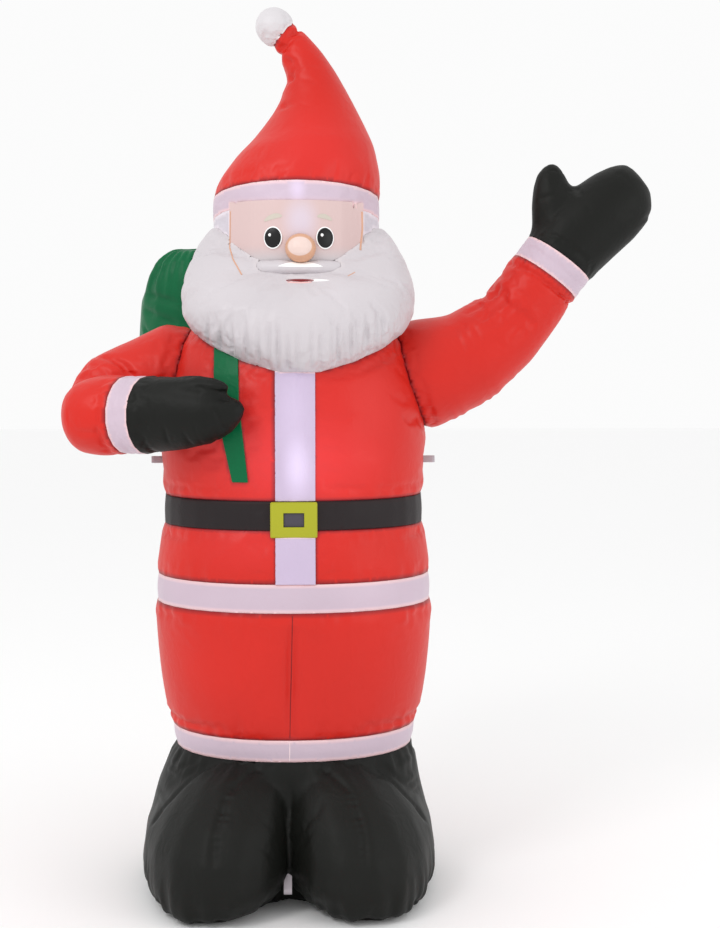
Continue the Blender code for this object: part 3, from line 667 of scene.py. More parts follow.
def front_hit(tree: BVHTree, x: float, z: float) -> float | None:
    """Where a straight look from the front first meets a surface.

    Args:
        tree: The surface's search tree.
        x: Sideways place.
        z: Height.

    Returns:
        The y of that place, or nothing where the look passes by.
    """
    hit = tree.ray_cast(Vector((x, VIEWER_Y, z)), Vector((0, 1, 0)))[0]
    return None if hit is None else hit.y


def finished(obj: bpy.types.Object, finish: Finish, smooth: float = 180.0) -> bpy.types.Object:
    """Gives a piece its material and shading and lets it ride on the body.

    Args:
        obj: The finished mesh.
        finish: Its finish.
        smooth: Angle in degrees up to which it is shaded smooth.

    Returns:
        The same object.
    """
    pick(obj)
    bpy.ops.object.transform_apply(location=True, rotation=True, scale=True)
    obj.data.materials.clear()
    obj.data.materials.append(finish.material())
    bpy.ops.object.shade_smooth_by_angle(angle=math.radians(smooth))
    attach(obj, ROOT)
    deselect()
    log.info("%s: %d faces", obj.name, len(obj.data.polygons))
    return obj


class Nodes:
    """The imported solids, as sources of shape and as neighbours."""

    def __init__(self, nodes: dict[str, bpy.types.Object]) -> None:
        """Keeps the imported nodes.

        Args:
            nodes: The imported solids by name.
        """
        self.nodes = nodes
        self._trees: dict[str, BVHTree] = {}

    def tree(self, name: str) -> BVHTree:
        """The search tree of a solid.

        Args:
            name: The solid's name.

        Returns:
            The tree, built once.
        """
        if name not in self._trees:
            self._trees[name] = search_tree(self.nodes[name].data)
        return self._trees[name]

    def neighbours(self, name: str, reach: float = 0.012) -> list[str]:
        """The solids whose boxes come near a solid's box.

        Args:
            name: The solid's name.
            reach: How near counts.

        Returns:
            Their names.
        """
        low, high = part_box(name)
        found = []
        for other in self.nodes:
            if other == name:
                continue
            other_low, other_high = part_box(other)
            if all(other_low[i] < high[i] + reach and low[i] < other_high[i] + reach for i in range(3)):
                found.append(other)
        return found

    def distances(self, points: np.ndarray, names: list[str], reach: float = 0.06) -> np.ndarray:
        """How far each point is from the nearest of some solids.

        Args:
            points: The points.
            names: The solids.
            reach: How far outside its box a solid is still measured.

        Returns:
            One distance for each point.
        """
        found = np.full(len(points), 1.0)
        for name in names:
            tree = self.tree(name)
            low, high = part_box(name)
            near = np.all((points > np.array(low) - reach) & (points < np.array(high) + reach), axis=1)
            for index in np.flatnonzero(near):
                found[index] = min(found[index], tree.find_nearest(points[index])[3])
        return found

    def copied(self, name: str, new_name: str) -> bpy.types.Object:
        """A merged copy of a solid as a new piece.

        Args:
            name: The solid's name.
            new_name: The name of the piece.

        Returns:
            The piece.
        """
        piece = bpy.data.objects.new(new_name, self.nodes[name].data.copy())
        bpy.context.scene.collection.objects.link(piece)
        edit_all(
            piece,
            partial(bpy.ops.mesh.remove_doubles, threshold=0.00001),
            partial(bpy.ops.mesh.normals_make_consistent, inside=False),
        )
        return piece


@dataclass(frozen=True)
class Crease:
    """A groove in the fabric from one place to another, or a low ridge where its depth is negative."""

    start: Place
    end: Place
    depth: float
    width: float
    seen_from_front: bool = False

    def move(self, points: np.ndarray, outward: np.ndarray) -> np.ndarray:
        """Presses the groove into a surface; one seen from the front lies at any depth of it.

        Args:
            points: The surface points.
            outward: Their normals.

        Returns:
            The moved points.
        """
        start, end = np.array(self.start), np.array(self.end)
        fade = np.ones(len(points))
        if self.seen_from_front:
            fade = smooth_step(-outward[:, 1], 0.0, 0.3)
        depthless = np.array((1.0, 0.0 if self.seen_from_front else 1.0, 1.0))
        along = (end - start) * depthless
        offset = (points - start) * depthless
        share = np.clip((offset @ along) / (along @ along), 0.0, 1.0)
        away = np.linalg.norm(offset - share[:, None] * along, axis=1)
        fade = fade * np.sin(np.pi * np.clip(share, 0.02, 0.98)) ** 0.5
        return points - outward * (self.depth * fade * np.exp(-((away / self.width) ** 2)))[:, None]


@dataclass(frozen=True)
class Gathers:
    """Radiating folds along an edge of a section, from fabric that is longer than its seam."""

    axis: Place
    low: float
    high: float
    count: float
    depth: float
    seed: int = 1
    upwards: bool = True

    def move(self, points: np.ndarray, outward: np.ndarray) -> np.ndarray:
        """Lays the folds into a surface, strongest at one end of their range of height.

        Args:
            points: The surface points.
            outward: Their normals.

        Returns:
            The moved points.
        """
        around = np.arctan2(points[:, 1] - self.axis[1], points[:, 0] - self.axis[0])
        picked = np.random.default_rng(self.seed)
        wave = np.zeros(len(points))
        for step in range(5):
            turns = round(self.count * (0.55 + 0.28 * step))
            wave += np.cos(turns * around + picked.uniform(0, math.tau)) / 5
        folds = np.abs(wave) ** 0.7 * np.sign(wave)
        share = smooth_step(points[:, 2], self.low, self.high)
        strength = (1 - share if self.upwards else share) ** 1.5
        return points + outward * (self.depth * folds * strength)[:, None]


@dataclass(frozen=True)
class Puckers:
    """Short folds across a seam line, from fabric that is gathered into it."""

    start: Place
    end: Place
    count: float
    depth: float
    reach: float
    seed: int = 1

    def move(self, points: np.ndarray, outward: np.ndarray) -> np.ndarray:
        """Lays the folds into a surface.

        Args:
            points: The surface points.
            outward: Their normals.

        Returns:
            The moved points.
        """
        start, end = np.array(self.start), np.array(self.end)
        along = end - start
        share = np.clip(((points - start) @ along) / (along @ along), 0.0, 1.0)
        away = np.linalg.norm(points - (start + share[:, None] * along), axis=1)
        first, second = np.random.default_rng(self.seed).uniform(0, math.tau, 2)
        turn = share * self.count * math.tau
        wave = np.cos(turn + first + 1.6 * np.sin(0.37 * turn + second))
        fade = np.sin(np.pi * np.clip(share, 0.02, 0.98)) ** 0.5 * np.exp(-((away / self.reach) ** 2))
        return points + outward * (self.depth * wave * fade)[:, None]


@dataclass
class Section:
    """One fabric section, filled with air."""

    node: str
    finish: Finish
    voxel: float = 0.010
    excess: float = 0.03
    bulge: float = 0.009
    slack: float = 0.003
    frames: int = 14
    pressure: float = 4.0
    easing: int = 20
    hold_floor: bool = False
    seam_width: float = 0.005
    detail_ease: float = 0.012
    straighten: bool = True
    soften: int = 0
    even_depth: int = 0
    cover: str = ""
    details: tuple[Crease | Gathers | Puckers, ...] = ()

    @property
    def touching(self) -> float:
        """How near two places of the remeshed fabric count as one."""
        return self.voxel * 0.25

    def make(self, nodes: Nodes) -> bpy.types.Object:
        """Makes the section from its solid.

        Args:
            nodes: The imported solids.

        Returns:
            The finished piece.
        """
        piece = nodes.copied(self.node, f"{self.node}_fabric")
        edges = self._sharp_edges(piece)
        piece.data.remesh_voxel_size = self.voxel
        bpy.ops.object.voxel_remesh()
        near = nodes.neighbours(self.node)
        away = nodes.distances(corners(piece), near)
        if self.straighten:
            place_corners(piece, self._on_edges(corners(piece), edges, away))
            self._merge(piece)
        if self.soften:
            apply_modifier(piece, "SMOOTH", iterations=self.soften, factor=0.5)
        if self.even_depth:
            apply_modifier(
                piece, "SMOOTH", iterations=self.even_depth, factor=0.5, use_x=False, use_z=False
            )
        points = corners(piece)
        away = nodes.distances(points, near)
        if self.hold_floor:
            away = np.minimum(away, points[:, 2])
        self._groups(piece, away)
        if self.easing:
            apply_modifier(piece, "SMOOTH", vertex_group="free", iterations=self.easing, factor=0.5)
        free = smooth_step(away, 0.003, FREE_FROM_SEAM)
        points = corners(piece) - normals(piece) * (self.slack * free)[:, None]
        place_corners(piece, points)
        if self.frames:
            self._fill(piece)
            moved = corners(piece) - points
            reach = np.maximum(np.linalg.norm(moved, axis=1), 1e-9)
            limit = (self.bulge + self.slack) * smooth_step(away, 0.0, FREE_FROM_SEAM)
            place_corners(piece, points + moved * np.minimum(1.0, limit / reach)[:, None])
        if self.cover:
            place_corners(piece, self._tucked(corners(piece), nodes.tree(self.cover)))
        self._keep(piece, "seam", self._seam_share(away))
        self._keep(piece, "away", away)
        self._thin_hidden(piece, away)
        if self.straighten:
            self._crease_seams(piece)
        apply_modifier(piece, "SUBSURF", levels=1, render_levels=1, use_limit_surface=False)
        self._detail(piece)
        piece.vertex_groups.clear()
        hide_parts(self.node)
        return finished(piece, self.finish, 60)

    def _merge(self, piece: bpy.types.Object) -> None:
        """Merges the points that share a place on a sewn edge.

        Args:
            piece: The section.
        """
        edit_all(piece, partial(bpy.ops.mesh.remove_doubles, threshold=self.touching))

    def _crease_seams(self, piece: bpy.types.Object) -> None:
        """Keeps the sewn edges sharp while the rest is rounded.

        Args:
            piece: The section, with the distance of each vertex from the neighbours kept on it.
        """
        work = bmesh.new()
        work.from_mesh(piece.data)
        away = work.verts.layers.float["away"]
        crease = work.edges.layers.float.new("crease_edge")
        for edge in work.edges:
            sewn = all(vertex[away] < self.touching for vertex in edge.verts)
            if sewn and edge.is_manifold and edge.calc_face_angle() > SEWN_TURN:
                edge[crease] = 1.0
        work.to_mesh(piece.data)
        work.free()

    def _groups(self, piece: bpy.types.Object, away: np.ndarray) -> None:
        """Vertex groups for the sewn and the free fabric.

        Args:
            piece: The section.
            away: Distance of each vertex from the neighbours.
        """
        sewn = piece.vertex_groups.new(name="sewn")
        free = piece.vertex_groups.new(name="free")
        share = smooth_step(away, 0.002, 0.030)
        for index in np.flatnonzero(away < self.voxel * 0.8):
            sewn.add([int(index)], 1.0, "REPLACE")
        for index in np.flatnonzero(share > 0.01):
            free.add([int(index)], float(share[index]), "REPLACE")

    def _fill(self, piece: bpy.types.Object) -> None:
        """Blows the section up with its sewn edges held.

        Args:
            piece: The section.
        """
        cloth = piece.modifiers.new("air", "CLOTH")
        values = cloth.settings
        values.quality = 4
        values.mass = 0.12
        values.air_damping = 2.0
        values.tension_stiffness = 12.0
        values.compression_stiffness = 12.0
        values.shear_stiffness = 6.0
        values.bending_stiffness = 0.05
        values.use_pressure = True
        values.uniform_pressure_force = self.pressure
        values.effector_weights.gravity = 0.0
        values.vertex_group_mass = "sewn"
        values.shrink_min = -self.excess
        cloth.point_cache.frame_start = 1
        cloth.point_cache.frame_end = self.frames
        for frame in range(1, self.frames + 1):
            bpy.context.scene.frame_set(frame)
        pick(piece)
        bpy.ops.object.modifier_apply(modifier=cloth.name)
        bpy.context.scene.frame_set(1)

    @staticmethod
    def _sharp_edges(piece: bpy.types.Object) -> np.ndarray:
        """The edges at which a solid turns sharply.

        Args:
            piece: The merged copy of the solid.

        Returns:
            The start and end of each edge.
        """
        work = bmesh.new()
        work.from_mesh(piece.data)
        found = [
            (*edge.verts[0].co, *edge.verts[1].co)
            for edge in work.edges
            if edge.is_manifold and edge.calc_face_angle() > SHARP_TURN
        ]
        work.free()
        return np.array(found).reshape(-1, 2, 3)

    def _on_edges(self, points: np.ndarray, edges: np.ndarray, away: np.ndarray) -> np.ndarray:
        """Moves points beside a sewn edge onto it, so that the seam runs straight.

        Args:
            points: The remeshed surface.
            edges: The solid's sharp edges.
            away: Distance of each point from the neighbours.

        Returns:
            The moved points.
        """
        near = np.flatnonzero(away < self.voxel * SEAM_NEAR)
        nearest = np.full(len(near), self.voxel * SEAM_SNAP)
        moved = points[near].copy()
        for start, end in edges:
            along = end - start
            share = np.clip(((points[near] - start) @ along) / max(along @ along, 1e-12), 0.0, 1.0)
            place = start + share[:, None] * along
            reach = np.linalg.norm(points[near] - place, axis=1)
            closer = reach < nearest
            nearest[closer] = reach[closer]
            moved[closer] = place[closer]
        result = points.copy()
        result[near] = moved
        return result

    @staticmethod
    def _tucked(points: np.ndarray, cover: BVHTree, depth: float = 0.006) -> np.ndarray:
        """Moves what hangs in front of the covering solid just behind its front.

        Args:
            points: The section's points.
            cover: The covering solid.
            depth: How far behind.

        Returns:
            The moved points.
        """
        moved = points.copy()
        for index in np.flatnonzero(points[:, 1] < 0):
            x, y, z = points[index]
            front = front_hit(cover, x, z)
            if front is not None:
                moved[index, 1] = max(y, front + depth)
        return moved

    def _seam_share(self, away: np.ndarray) -> np.ndarray:
        """One along the sewn edges and zero elsewhere.

        Args:
            away: Distance of each vertex from the neighbours.

        Returns:
            The share of each vertex.
        """
        if not self.seam_width:
            return np.zeros(len(away))
        return 1 - smooth_step(away, 0.001, self.seam_width)

    @staticmethod
    def _keep(piece: bpy.types.Object, name: str, values: np.ndarray) -> None:
        """Keeps a value on each vertex.

        Args:
            piece: The section.
            name: The attribute's name.
            values: One value for each vertex.
        """
        attribute = piece.data.attributes.new(name, "FLOAT", "POINT")
        attribute.data.foreach_set("value", values.astype(np.float32))

    def _detail(self, piece: bpy.types.Object) -> None:
        """Lays the creases and gathers into the section, less beside its seams and never below the ground.

        Args:
            piece: The section.
        """
        away = np.empty(len(piece.data.vertices), np.float32)
        piece.data.attributes["away"].data.foreach_get("value", away)
        share = smooth_step(away, 0.0, self.detail_ease)[:, None]
        points = corners(piece)
        for detail in self.details:
            outward = normals(piece)
            points = points + (detail.move(points, outward) - points) * share
            place_corners(piece, points)
        points[:, 2] = np.maximum(points[:, 2], 0.0)
        place_corners(piece, points)
        piece.data.attributes.remove(piece.data.attributes["away"])

    def _thin_hidden(self, piece: bpy.types.Object, away: np.ndarray) -> None:
        """Makes one face of each level end that lies against a neighbour or the ground.

        Args:
            piece: The section.
            away: Distance of each vertex from the neighbours.
        """
        mesh = piece.data
        ends = np.empty(len(mesh.loops), np.int32)
        mesh.loops.foreach_get("vertex_index", ends)
        starts = np.empty(len(mesh.polygons), np.int32)
        mesh.polygons.foreach_get("loop_start", starts)
        facing = np.empty(len(mesh.polygons) * 3, np.float32)
        mesh.polygons.foreach_get("normal", facing)
        hidden = np.maximum.reduceat(away[ends], starts) < self.touching
        hidden &= np.abs(facing.reshape(-1, 3)[:, 2]) > LEVEL_NORMAL
        if not hidden.any():
            return
        pick(piece)
        bpy.ops.object.mode_set(mode="EDIT")
        bpy.ops.mesh.select_mode(type="FACE")
        bpy.ops.mesh.select_all(action="DESELECT")
        bpy.ops.object.mode_set(mode="OBJECT")
        mesh.polygons.foreach_set("select", hidden)
        bpy.ops.object.mode_set(mode="EDIT")
        bpy.ops.mesh.dissolve_faces(use_verts=False)
        bpy.ops.object.mode_set(mode="OBJECT")


class Front:
    """The front of some pieces, on which patches and seam lines are laid."""

    def __init__(self, *pieces: bpy.types.Object) -> None:
        """Reads the pieces.

        Args:
            *pieces: The pieces, front-most wins.
        """
        self.trees = [search_tree(piece.data) for piece in pieces]

    def depth(self, x: float, z: float) -> float:
        """Where the front is.

        Args:
            x: Sideways place.
            z: Height.

        Returns:
            The y of the front there.
        """
        hits = [front_hit(tree, x, z) for tree in self.trees]
        found = [hit for hit in hits if hit is not None]
        return min(found) if found else 0.0


@dataclass(frozen=True)
class Patch:
    """A thin patch that follows the front of the pieces under it; most are sewn or printed features, and the
    white one under the nose is a painted highlight.
    """

    name: str
    x: float
    z: float
    width: float
    height: float
    finish: Finish
    pointed: float = 0.5
    arch: float = 0.0
    slope: float = 0.0
    lift: float = 0.0010
    thickness: float = 0.0012

    def make(self, front: Front) -> bpy.types.Object:
        """Makes the patch.

        Args:
            front: The front that it lies on.

        Returns:
            The finished piece.
        """
        deselect()
        bpy.ops.mesh.primitive_grid_add(
            x_subdivisions=20, y_subdivisions=8, size=2.0, rotation=(math.radians(90), 0, 0)
        )
        piece = bpy.context.object
        piece.name = self.name
        bpy.ops.object.transform_apply(location=True, rotation=True, scale=True)
        points = corners(piece)
        across, up = points[:, 0].copy(), points[:, 2].copy()
        half = np.clip(1 - across**2, 0.0, 1.0) ** self.pointed * self.height / 2
        half = np.maximum(half, 0.0002)
        points[:, 0] = self.x + across * self.width / 2
        points[:, 2] = self.z + up * half + self.arch * (1 - across**2) + self.slope * across
        points[:, 1] = [front.depth(x, z) - self.lift for x, z in points[:, (0, 2)]]
        place_corners(piece, points)
        edit_all(piece, partial(bpy.ops.mesh.normals_make_consistent, inside=False))
        if normals(piece)[:, 1].mean() > 0:
            edit_all(piece, bpy.ops.mesh.flip_normals)
        apply_modifier(piece, "SOLIDIFY", thickness=self.thickness, offset=-1.0)
        return finished(piece, self.finish, 40)


@dataclass(frozen=True)
class SeamLine:
    """A line of stitching that follows the front of the pieces under it."""

    name: str
    places: tuple[tuple[float, float], ...]
    finish: Finish
    radius: float = 0.0014
    sink: float = 0.0004
    step: float = 0.006

    def make(self, front: Front) -> bpy.types.Object:
        """Makes the line as a thin tube through its places.

        Args:
            front: The front that it lies on.

        Returns:
            The finished piece.
        """
        route = []
        for (x0, z0), (x1, z1) in zip(self.places, self.places[1:]):
            steps = max(2, round(math.hypot(x1 - x0, z1 - z0) / self.step))
            route += [(x0 + (x1 - x0) * s / steps, z0 + (z1 - z0) * s / steps) for s in range(steps)]
        route.append(self.places[-1])
        curve = bpy.data.curves.new(self.name, "CURVE")
        curve.dimensions = "3D"
        curve.bevel_depth = self.radius
        curve.bevel_resolution = 2
        curve.use_fill_caps = True
        spline = curve.splines.new("POLY")
        spline.points.add(len(route) - 1)
        for target, (x, z) in zip(spline.points, route):
            target.co = (x, front.depth(x, z) + self.sink, z, 1.0)
        line = bpy.data.objects.new(self.name, curve)
        bpy.context.scene.collection.objects.link(line)
        pick(line)
        bpy.ops.object.convert(target="MESH")
        return finished(bpy.context.object, self.finish, 60)


def trimmed(nodes: Nodes, name: str, finish: Finish, bevel: float) -> bpy.types.Object:
    """A firm piece as its solid gives it, with softened edges.

    Args:
        nodes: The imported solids.
        name: The solid's name.
        finish: Its finish.
        bevel: Radius of the edges.

    Returns:
        The finished piece.
    """
    piece = nodes.copied(name, f"{name}_trim")
    sharp = math.radians(35)
    apply_modifier(piece, "BEVEL", width=bevel, segments=2, limit_method="ANGLE", angle_limit=sharp)
    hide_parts(name)
    return finished(piece, finish, 35)


@dataclass
class Legs:
    """Boots, trouser cuffs and trousers."""

    boots_x: float = -0.014

    def make(self, nodes: Nodes) -> None:
        """Makes the pieces.

        Args:
            nodes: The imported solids.
        """
        middle = self.boots_x
        creases: list[Crease | Gathers | Puckers] = [
            Crease((middle, -0.28, 0.31), (middle, -0.33, 0.10), 0.008, 0.012),
            Crease((middle, 0.24, 0.36), (middle, 0.24, 0.06), 0.005, 0.014),
        ]
        for side in (-1, 1):
            outer = ((0.214, -0.213, 0.365), (0.335, -0.207, 0.236), (0.365, -0.181, 0.190))
            inner = (
                (0.085, -0.265, 0.372), (0.160, -0.330, 0.310), (0.190, -0.410, 0.230), (0.192, -0.450, 0.150)
            )
            for line, depth in ((outer, 0.010), (inner, 0.008)):
                places = [(middle + side * x, y, z) for x, y, z in line]
                creases += [Crease(start, end, depth, 0.011) for start, end in zip(places, places[1:])]
            start, end = (middle + side * 0.155, -0.325, 0.32), (middle + side * 0.192, -0.450, 0.15)
            creases.append(Puckers(start, end, 8, 0.0018, 0.016, seed=20 + side))
            start, end = (middle + side * 0.330, -0.12, 0.37), (middle + side * 0.375, -0.14, 0.24)
            creases.append(Puckers(start, end, 4, 0.0028, 0.050, seed=24 + side))
            creases.append(Gathers((middle + side * 0.19, -0.12, 0.0), 0.03, 0.17, 26, 0.005, seed=30 + side))
        creases.append(Gathers((middle, 0.0, 0.0), 0.27, 0.38, 30, 0.004, seed=4, upwards=False))
        Section(
            "boots", BLACK, voxel=0.011, bulge=0.007, excess=0.05, hold_floor=True, details=tuple(creases)
        ).make(nodes)
        cuffs = Section("trouser_cuffs", WHITE_BAND, bulge=0.003, slack=0.001, excess=0.02, frames=8)
        made_cuffs = cuffs.make(nodes)
        trousers = Section(
            "trousers",
            RED,
            voxel=0.011,
            details=(
                Crease((-0.004, -0.31, 0.80), (-0.012, -0.28, 0.42), 0.012, 0.013),
                Gathers((0.0, 0.0, 0.0), 0.44, 0.53, 30, 0.003, seed=5),
                Gathers((0.0, 0.0, 0.0), 0.70, 0.78, 30, 0.003, seed=6, upwards=False),
            ),
        )
        made_trousers = trousers.make(nodes)
        front_seam = SeamLine("trouser_seam", ((-0.004, 0.776), (-0.012, 0.446)), SEAM_RED, radius=0.0012)
        front_seam.make(Front(made_trousers))
        cuff_seam = SeamLine("cuff_seam", ((-0.012, 0.436), (-0.013, 0.384)), SEAM_WHITE, radius=0.0014)
        cuff_seam.make(Front(made_cuffs))


@dataclass
class Coat:
    """Hem, skirt, belt, chest, white front strip and buckle."""

    gather_depth: float = 0.0025

    def make(self, nodes: Nodes) -> None:
        """Makes the pieces.

        Args:
            nodes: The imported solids.
        """
        fold = self.gather_depth
        Section("coat_hem", WHITE_BAND, bulge=0.003, slack=0.001, excess=0.02, frames=8).make(nodes)
        Section(
            "coat_skirt",
            RED,
            bulge=0.006,
            details=(
                Gathers((0.0, 0.0, 0.0), 0.858, 0.93, 30, fold, seed=7),
                Gathers((0.0, 0.0, 0.0), 0.92, 0.996, 30, fold, seed=8, upwards=False),
                Crease((-0.13, -0.29, 0.975), (-0.24, -0.26, 0.895), -0.003, 0.016),
            ),
        ).make(nodes)
        Section("belt", BELT_BLACK, bulge=0.002, slack=0.001, excess=0.02, frames=8).make(nodes)
        Section(
            "coat",
            RED,
            voxel=0.011,
            bulge=0.008,
            details=(
                Gathers((0.0, 0.0, 0.0), 1.072, 1.15, 30, fold, seed=9),
                Crease((0.10, -0.30, 1.17), (0.30, -0.24, 1.15), -0.003, 0.030),
                Crease((-0.10, -0.30, 1.17), (-0.30, -0.24, 1.15), -0.003, 0.030),
            ),
        ).make(nodes)
        folds = (
            Crease((0.012, -0.285, 1.43), (0.030, -0.303, 1.19), 0.0024, 0.006),
            Crease((0.030, -0.303, 1.21), (0.012, -0.300, 1.09), 0.0030, 0.006),
            Crease((-0.006, -0.290, 1.40), (0.010, -0.303, 1.22), -0.0020, 0.010),
        )
        for name, details in (("placket_upper", folds), ("placket_lower", ())):
            Section(
                name,
                PLACKET_WHITE,
                voxel=0.0035,
                frames=0,
                slack=0.0,
                easing=3,
                seam_width=0.0022,
                detail_ease=0.003,
                details=details,
            ).make(nodes)
        trimmed(nodes, "buckle", YELLOW, 0.0015)
        trimmed(nodes, "buckle_centre", GREY, 0.0010)


@dataclass
class Arms:
    """Both arms, each with its sleeve, cuff and mitten."""

    cuff_bulge: float = 0.003

    def make(self, nodes: Nodes) -> None:
        """Makes the pieces.

        Args:
            nodes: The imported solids.
        """
        Section(
            "sleeve_raised",
            RED,
            voxel=0.009,
            bulge=0.008,
            excess=0.05,
            details=(
                Crease((0.425, -0.10, 1.545), (0.462, -0.139, 1.455), 0.0035, 0.007),
                Crease((0.448, -0.10, 1.550), (0.487, -0.138, 1.470), 0.0030, 0.007),
                Crease((0.480, -0.12, 1.540), (0.508, -0.137, 1.485), 0.0030, 0.007),
                Crease((0.548, -0.09, 1.630), (0.590, -0.127, 1.575), 0.0030, 0.007),
                Puckers((0.360, 0.0, 1.260), (0.620, 0.0, 1.420), 8, 0.0018, 0.080, seed=31),
            ),
        ).make(nodes)
        Section(
            "sleeve_bent",
            RED,
            voxel=0.009,
            bulge=0.008,
            excess=0.05,
            details=(
                Crease((-0.520, -0.090, 1.455), (-0.455, -0.126, 1.425), 0.008, 0.010),
                Crease((-0.462, -0.124, 1.430), (-0.425, -0.140, 1.392), 0.010, 0.009),
                Crease((-0.590, -0.110, 1.385), (-0.530, -0.150, 1.400), 0.005, 0.012),
                Crease((-0.560, -0.260, 1.252), (-0.500, -0.280, 1.247), 0.004, 0.010),
                Crease((-0.360, -0.130, 1.440), (-0.350, -0.150, 1.370), -0.003, 0.012),
            ),
        ).make(nodes)
        for name in ("cuff_raised", "cuff_bent"):
            Section(
                name, WHITE_BAND, voxel=0.007, bulge=self.cuff_bulge, slack=0.001, excess=0.02, frames=8
            ).make(nodes)
        Section(
            "mitten_raised",
            BLACK,
            voxel=0.008,
            bulge=0.006,
            excess=0.05,
            details=(
                Crease((0.769, -0.07, 1.915), (0.796, -0.13, 1.835), 0.006, 0.008),
                Crease((0.755, -0.07, 1.900), (0.742, -0.10, 1.850), 0.004, 0.007),
                Crease((0.762, -0.07, 1.900), (0.722, -0.095, 1.848), 0.004, 0.007),
                Crease((0.670, -0.08, 1.875), (0.714, -0.092, 1.886), 0.004, 0.007),
                Crease((0.905, -0.12, 1.832), (0.965, -0.07, 1.832), 0.006, 0.008),
                Crease((0.925, -0.10, 1.915), (0.965, -0.07, 1.890), 0.005, 0.008),
                Crease((0.650, -0.07, 1.782), (0.702, -0.127, 1.752), 0.003, 0.010),
                Puckers((0.860, -0.05, 1.960), (0.960, -0.05, 1.800), 7, 0.0030, 0.035, seed=33),
            ),
        ).make(nodes)
        Section(
            "mitten_bent",
            BLACK,
            voxel=0.007,
            bulge=0.005,
            excess=0.05,
            details=(
                Crease((-0.252, -0.360, 1.372), (-0.158, -0.360, 1.352), 0.007, 0.007),
                Crease((-0.198, -0.382, 1.318), (-0.174, -0.362, 1.255), 0.007, 0.007),
                Crease((-0.225, -0.380, 1.297), (-0.197, -0.330, 1.226), 0.006, 0.007),
                Crease((-0.250, -0.370, 1.275), (-0.232, -0.335, 1.226), 0.005, 0.006),
                Crease((-0.279, -0.355, 1.258), (-0.258, -0.329, 1.218), 0.004, 0.006),
                Crease((-0.328, -0.345, 1.270), (-0.320, -0.324, 1.225), 0.004, 0.006),
                Crease((-0.170, -0.370, 1.300), (-0.150, -0.350, 1.270), 0.004, 0.006),
            ),
        ).make(nodes)


